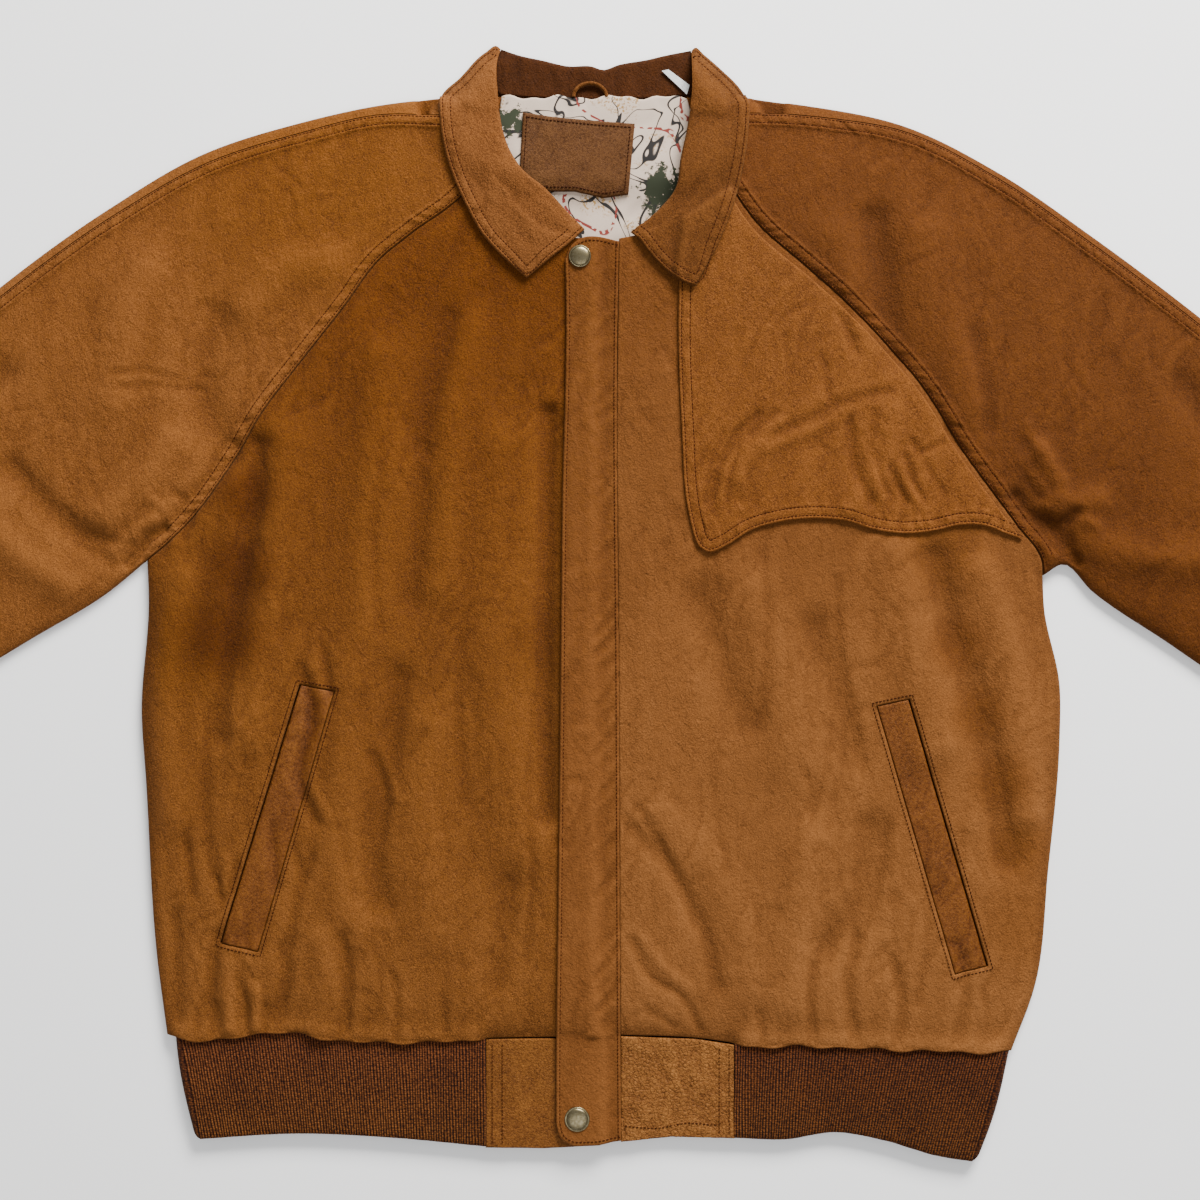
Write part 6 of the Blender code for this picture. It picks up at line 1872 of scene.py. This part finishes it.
def floor_material():
    """The pale studio floor."""
    g = Graph("floor")
    soft = g.noise(3.0, 2.0, 0.5)
    colour = g.blend(g.span(soft, 0.3, 0.7), (0.90, 0.90, 0.90), (0.92, 0.92, 0.92))
    return g.finish(colour, 0.9, None, Specular_IOR_Level=0.1)


def set_up_camera():
    cam = bpy.data.cameras.new("camera")
    cam.lens = CAMERA_LENS
    cam.sensor_width = CAMERA_SENSOR
    cam.clip_end = 20
    obj = bpy.data.objects.new("camera", cam)
    obj.location = (SHIFT[0] * MM, SHIFT[1] * MM, CAMERA_HEIGHT)
    bpy.context.scene.collection.objects.link(obj)
    bpy.context.scene.camera = obj


def area_light(name, place, size, watts, colour):
    """A rectangular light that looks at the middle of the floor."""
    light = bpy.data.lights.new(name, "AREA")
    light.shape = "RECTANGLE"
    light.size, light.size_y = size
    light.energy = watts
    light.color = colour
    obj = bpy.data.objects.new(name, light)
    obj.location = place
    obj.rotation_euler = (-Vector(place)).to_track_quat("-Z", "Y").to_euler()
    bpy.context.scene.collection.objects.link(obj)


def set_up_light():
    area_light("window", WINDOW_PLACE, WINDOW_SIZE, WINDOW_POWER, (1.0, 0.985, 0.96))
    area_light("fill", FILL_PLACE, FILL_SIZE, FILL_POWER, (0.97, 0.98, 1.0))
    world = bpy.data.worlds.new("studio")
    world.use_nodes = True
    sky = world.node_tree.nodes["Background"]
    sky.inputs["Color"].default_value = (1.0, 1.0, 1.0, 1.0)
    sky.inputs["Strength"].default_value = SKY_STRENGTH
    bpy.context.scene.world = world


def set_up_floor():
    mesh = bpy.data.meshes.new("floor")
    corners = [(x * FLOOR_HALF, y * FLOOR_HALF, -FLOOR_DEPTH)
               for x, y in ((-1, -1), (1, -1), (1, 1), (-1, 1))]
    mesh.from_pydata(corners, [], [[0, 1, 2, 3]])
    mesh.materials.append(floor_material())
    obj = bpy.data.objects.new("floor", mesh)
    bpy.context.scene.collection.objects.link(obj)


def find_shift():
    """How far the part's frame moved from its source's, from the top snap."""
    low, high = np.array(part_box("snap_top")) / MM
    middle = (low + high) / 2
    return np.array([middle[0] - TOP_SNAP[0], middle[1] - TOP_SNAP[1], 0.0])


SHIFT = find_shift()


def make_materials():
    # The nubuck pieces are one leather: their base colours differ partly as the hide's own colour and
    # partly as painted light and shade, the left sleeve and left collar leaf darkest
    return {
        "front_right": nubuck("nubuck_front_right", (0.112, 0.0340, 0.0074), 0,
                              foot=(1.04, 1.18, 0.98), head=(0.66, 0.61, 0.24),
                              # The darker patches below are painted shade in folds, troughs and beside
                              # the placket
                              shade_patches=[((-246, 74), 30, (0.66, 0.58, 0.35)),
                                      ((-252, 24), 36, (0.60, 0.52, 0.30)),
                                      ((-262, -24), 42, (0.64, 0.56, 0.35)),
                                      ((-290, -30), 55, (0.84, 0.80, 0.62)),
                                      ((-40, -30), 40, (0.84, 0.81, 0.7))]),
        "front_left": nubuck("nubuck_front_left", (0.121, 0.0395, 0.0088), 3, foot=(1.14, 1.28, 1.35),
                             head=(0.76, 0.76, 0.6), fuzz=0.66,
                             # The darker patches below are painted shade along the front's deep fold
                             # near its side
                             shade_patches=[((250, -30), 30, (0.80, 0.74, 0.60)),
                                     ((264, -78), 30, (0.78, 0.72, 0.56)),
                                     ((280, -126), 32, (0.78, 0.72, 0.56)),
                                     ((292, -172), 34, (0.78, 0.72, 0.56)),
                                     ((300, -225), 50, (0.86, 0.82, 0.70)),
                                     ((240, 40), 50, (0.88, 0.84, 0.70))]),
        "sleeve_right": nubuck("nubuck_sleeve_right", (0.135, 0.0440, 0.0088), -40,
                               foot=(1.13, 1.24, 1.3), head=(0.86, 0.88, 0.8),
                               # The darker patch below is painted shade over the top of the sleeve
                               shade_patches=[((-200, 310), 150, (0.86, 0.82, 0.60))], fuzz=0.9),
        "sleeve_left": nubuck("nubuck_sleeve_left", (0.067, 0.0195, 0.0026), 40,
                              foot=(1.0, 0.95, 0.8), head=(1.0, 1.03, 1.1), fuzz=0.85),
        "back": nubuck("nubuck_back", (0.108, 0.0335, 0.0058), 0),
        "placket": nubuck("nubuck_placket", (0.110, 0.0355, 0.0068), 0, foot=(1.1, 1.18, 1.3),
                          head=(0.8, 0.8, 0.7), fuzz=0.5),
        "flap": nubuck("nubuck_flap", (0.112, 0.0350, 0.0055), 20, head=(0.95, 1.0, 1.1)),
        "collar_right": nubuck("nubuck_collar_right", (0.106, 0.0360, 0.0075), 0),
        "collar_left": nubuck("nubuck_collar_left", (0.073, 0.0240, 0.0038), 0),
        "stand": nubuck("nubuck_stand", (0.031, 0.0085, 0.0014), 0),
        "tab_right": grained("tab_leather_right", (0.120, 0.0415, 0.0064), 0.55, 0.7, 900.0, 0.12),
        "tab_left": grained("tab_leather_left", (0.155, 0.0580, 0.0120), 0.55, 0.7, 620.0, 0.26),
        "welt": grained("welt_leather", (0.101, 0.0315, 0.0044), 0.45, 0.6, 1500.0, 0.06),
        "patch": grained("patch_leather", (0.064, 0.0240, 0.0058), 0.6, 0.75, 1400.0, 0.05),
        "knit": knit_material("knit", (0.055, 0.0155, 0.0034)),
        "lining": lining_material("lining"),
        "brass": brass_material("aged_brass"),
        "label": label_material("label"),
        "thread": thread_material("thread", (0.030, 0.0062, 0.0016)),
        "dark_thread": thread_material("dark_thread", (0.022, 0.0042, 0.0014)),
    }


def main():
    set_up_camera()
    set_up_light()
    set_up_floor()
    mats = make_materials()
    back_panel(mats)
    body_fronts(mats)
    sleeves(mats)
    waist_tabs(mats)
    placket(mats)
    storm_flap(mats)
    welts(mats)
    waistband(mats)
    cuffs(mats)
    collar(mats)
    neck_lining(mats)
    label_patch(mats)
    care_label(mats)
    hanger_loop(mats)
    snap("brass_snap_top", TOP_SNAP, TOP_SNAP_RADIUS, "snap_top", mats["brass"])
    snap("brass_snap_bottom", FOOT_SNAP, FOOT_SNAP_RADIUS, "snap_bottom", mats["brass"])


main()
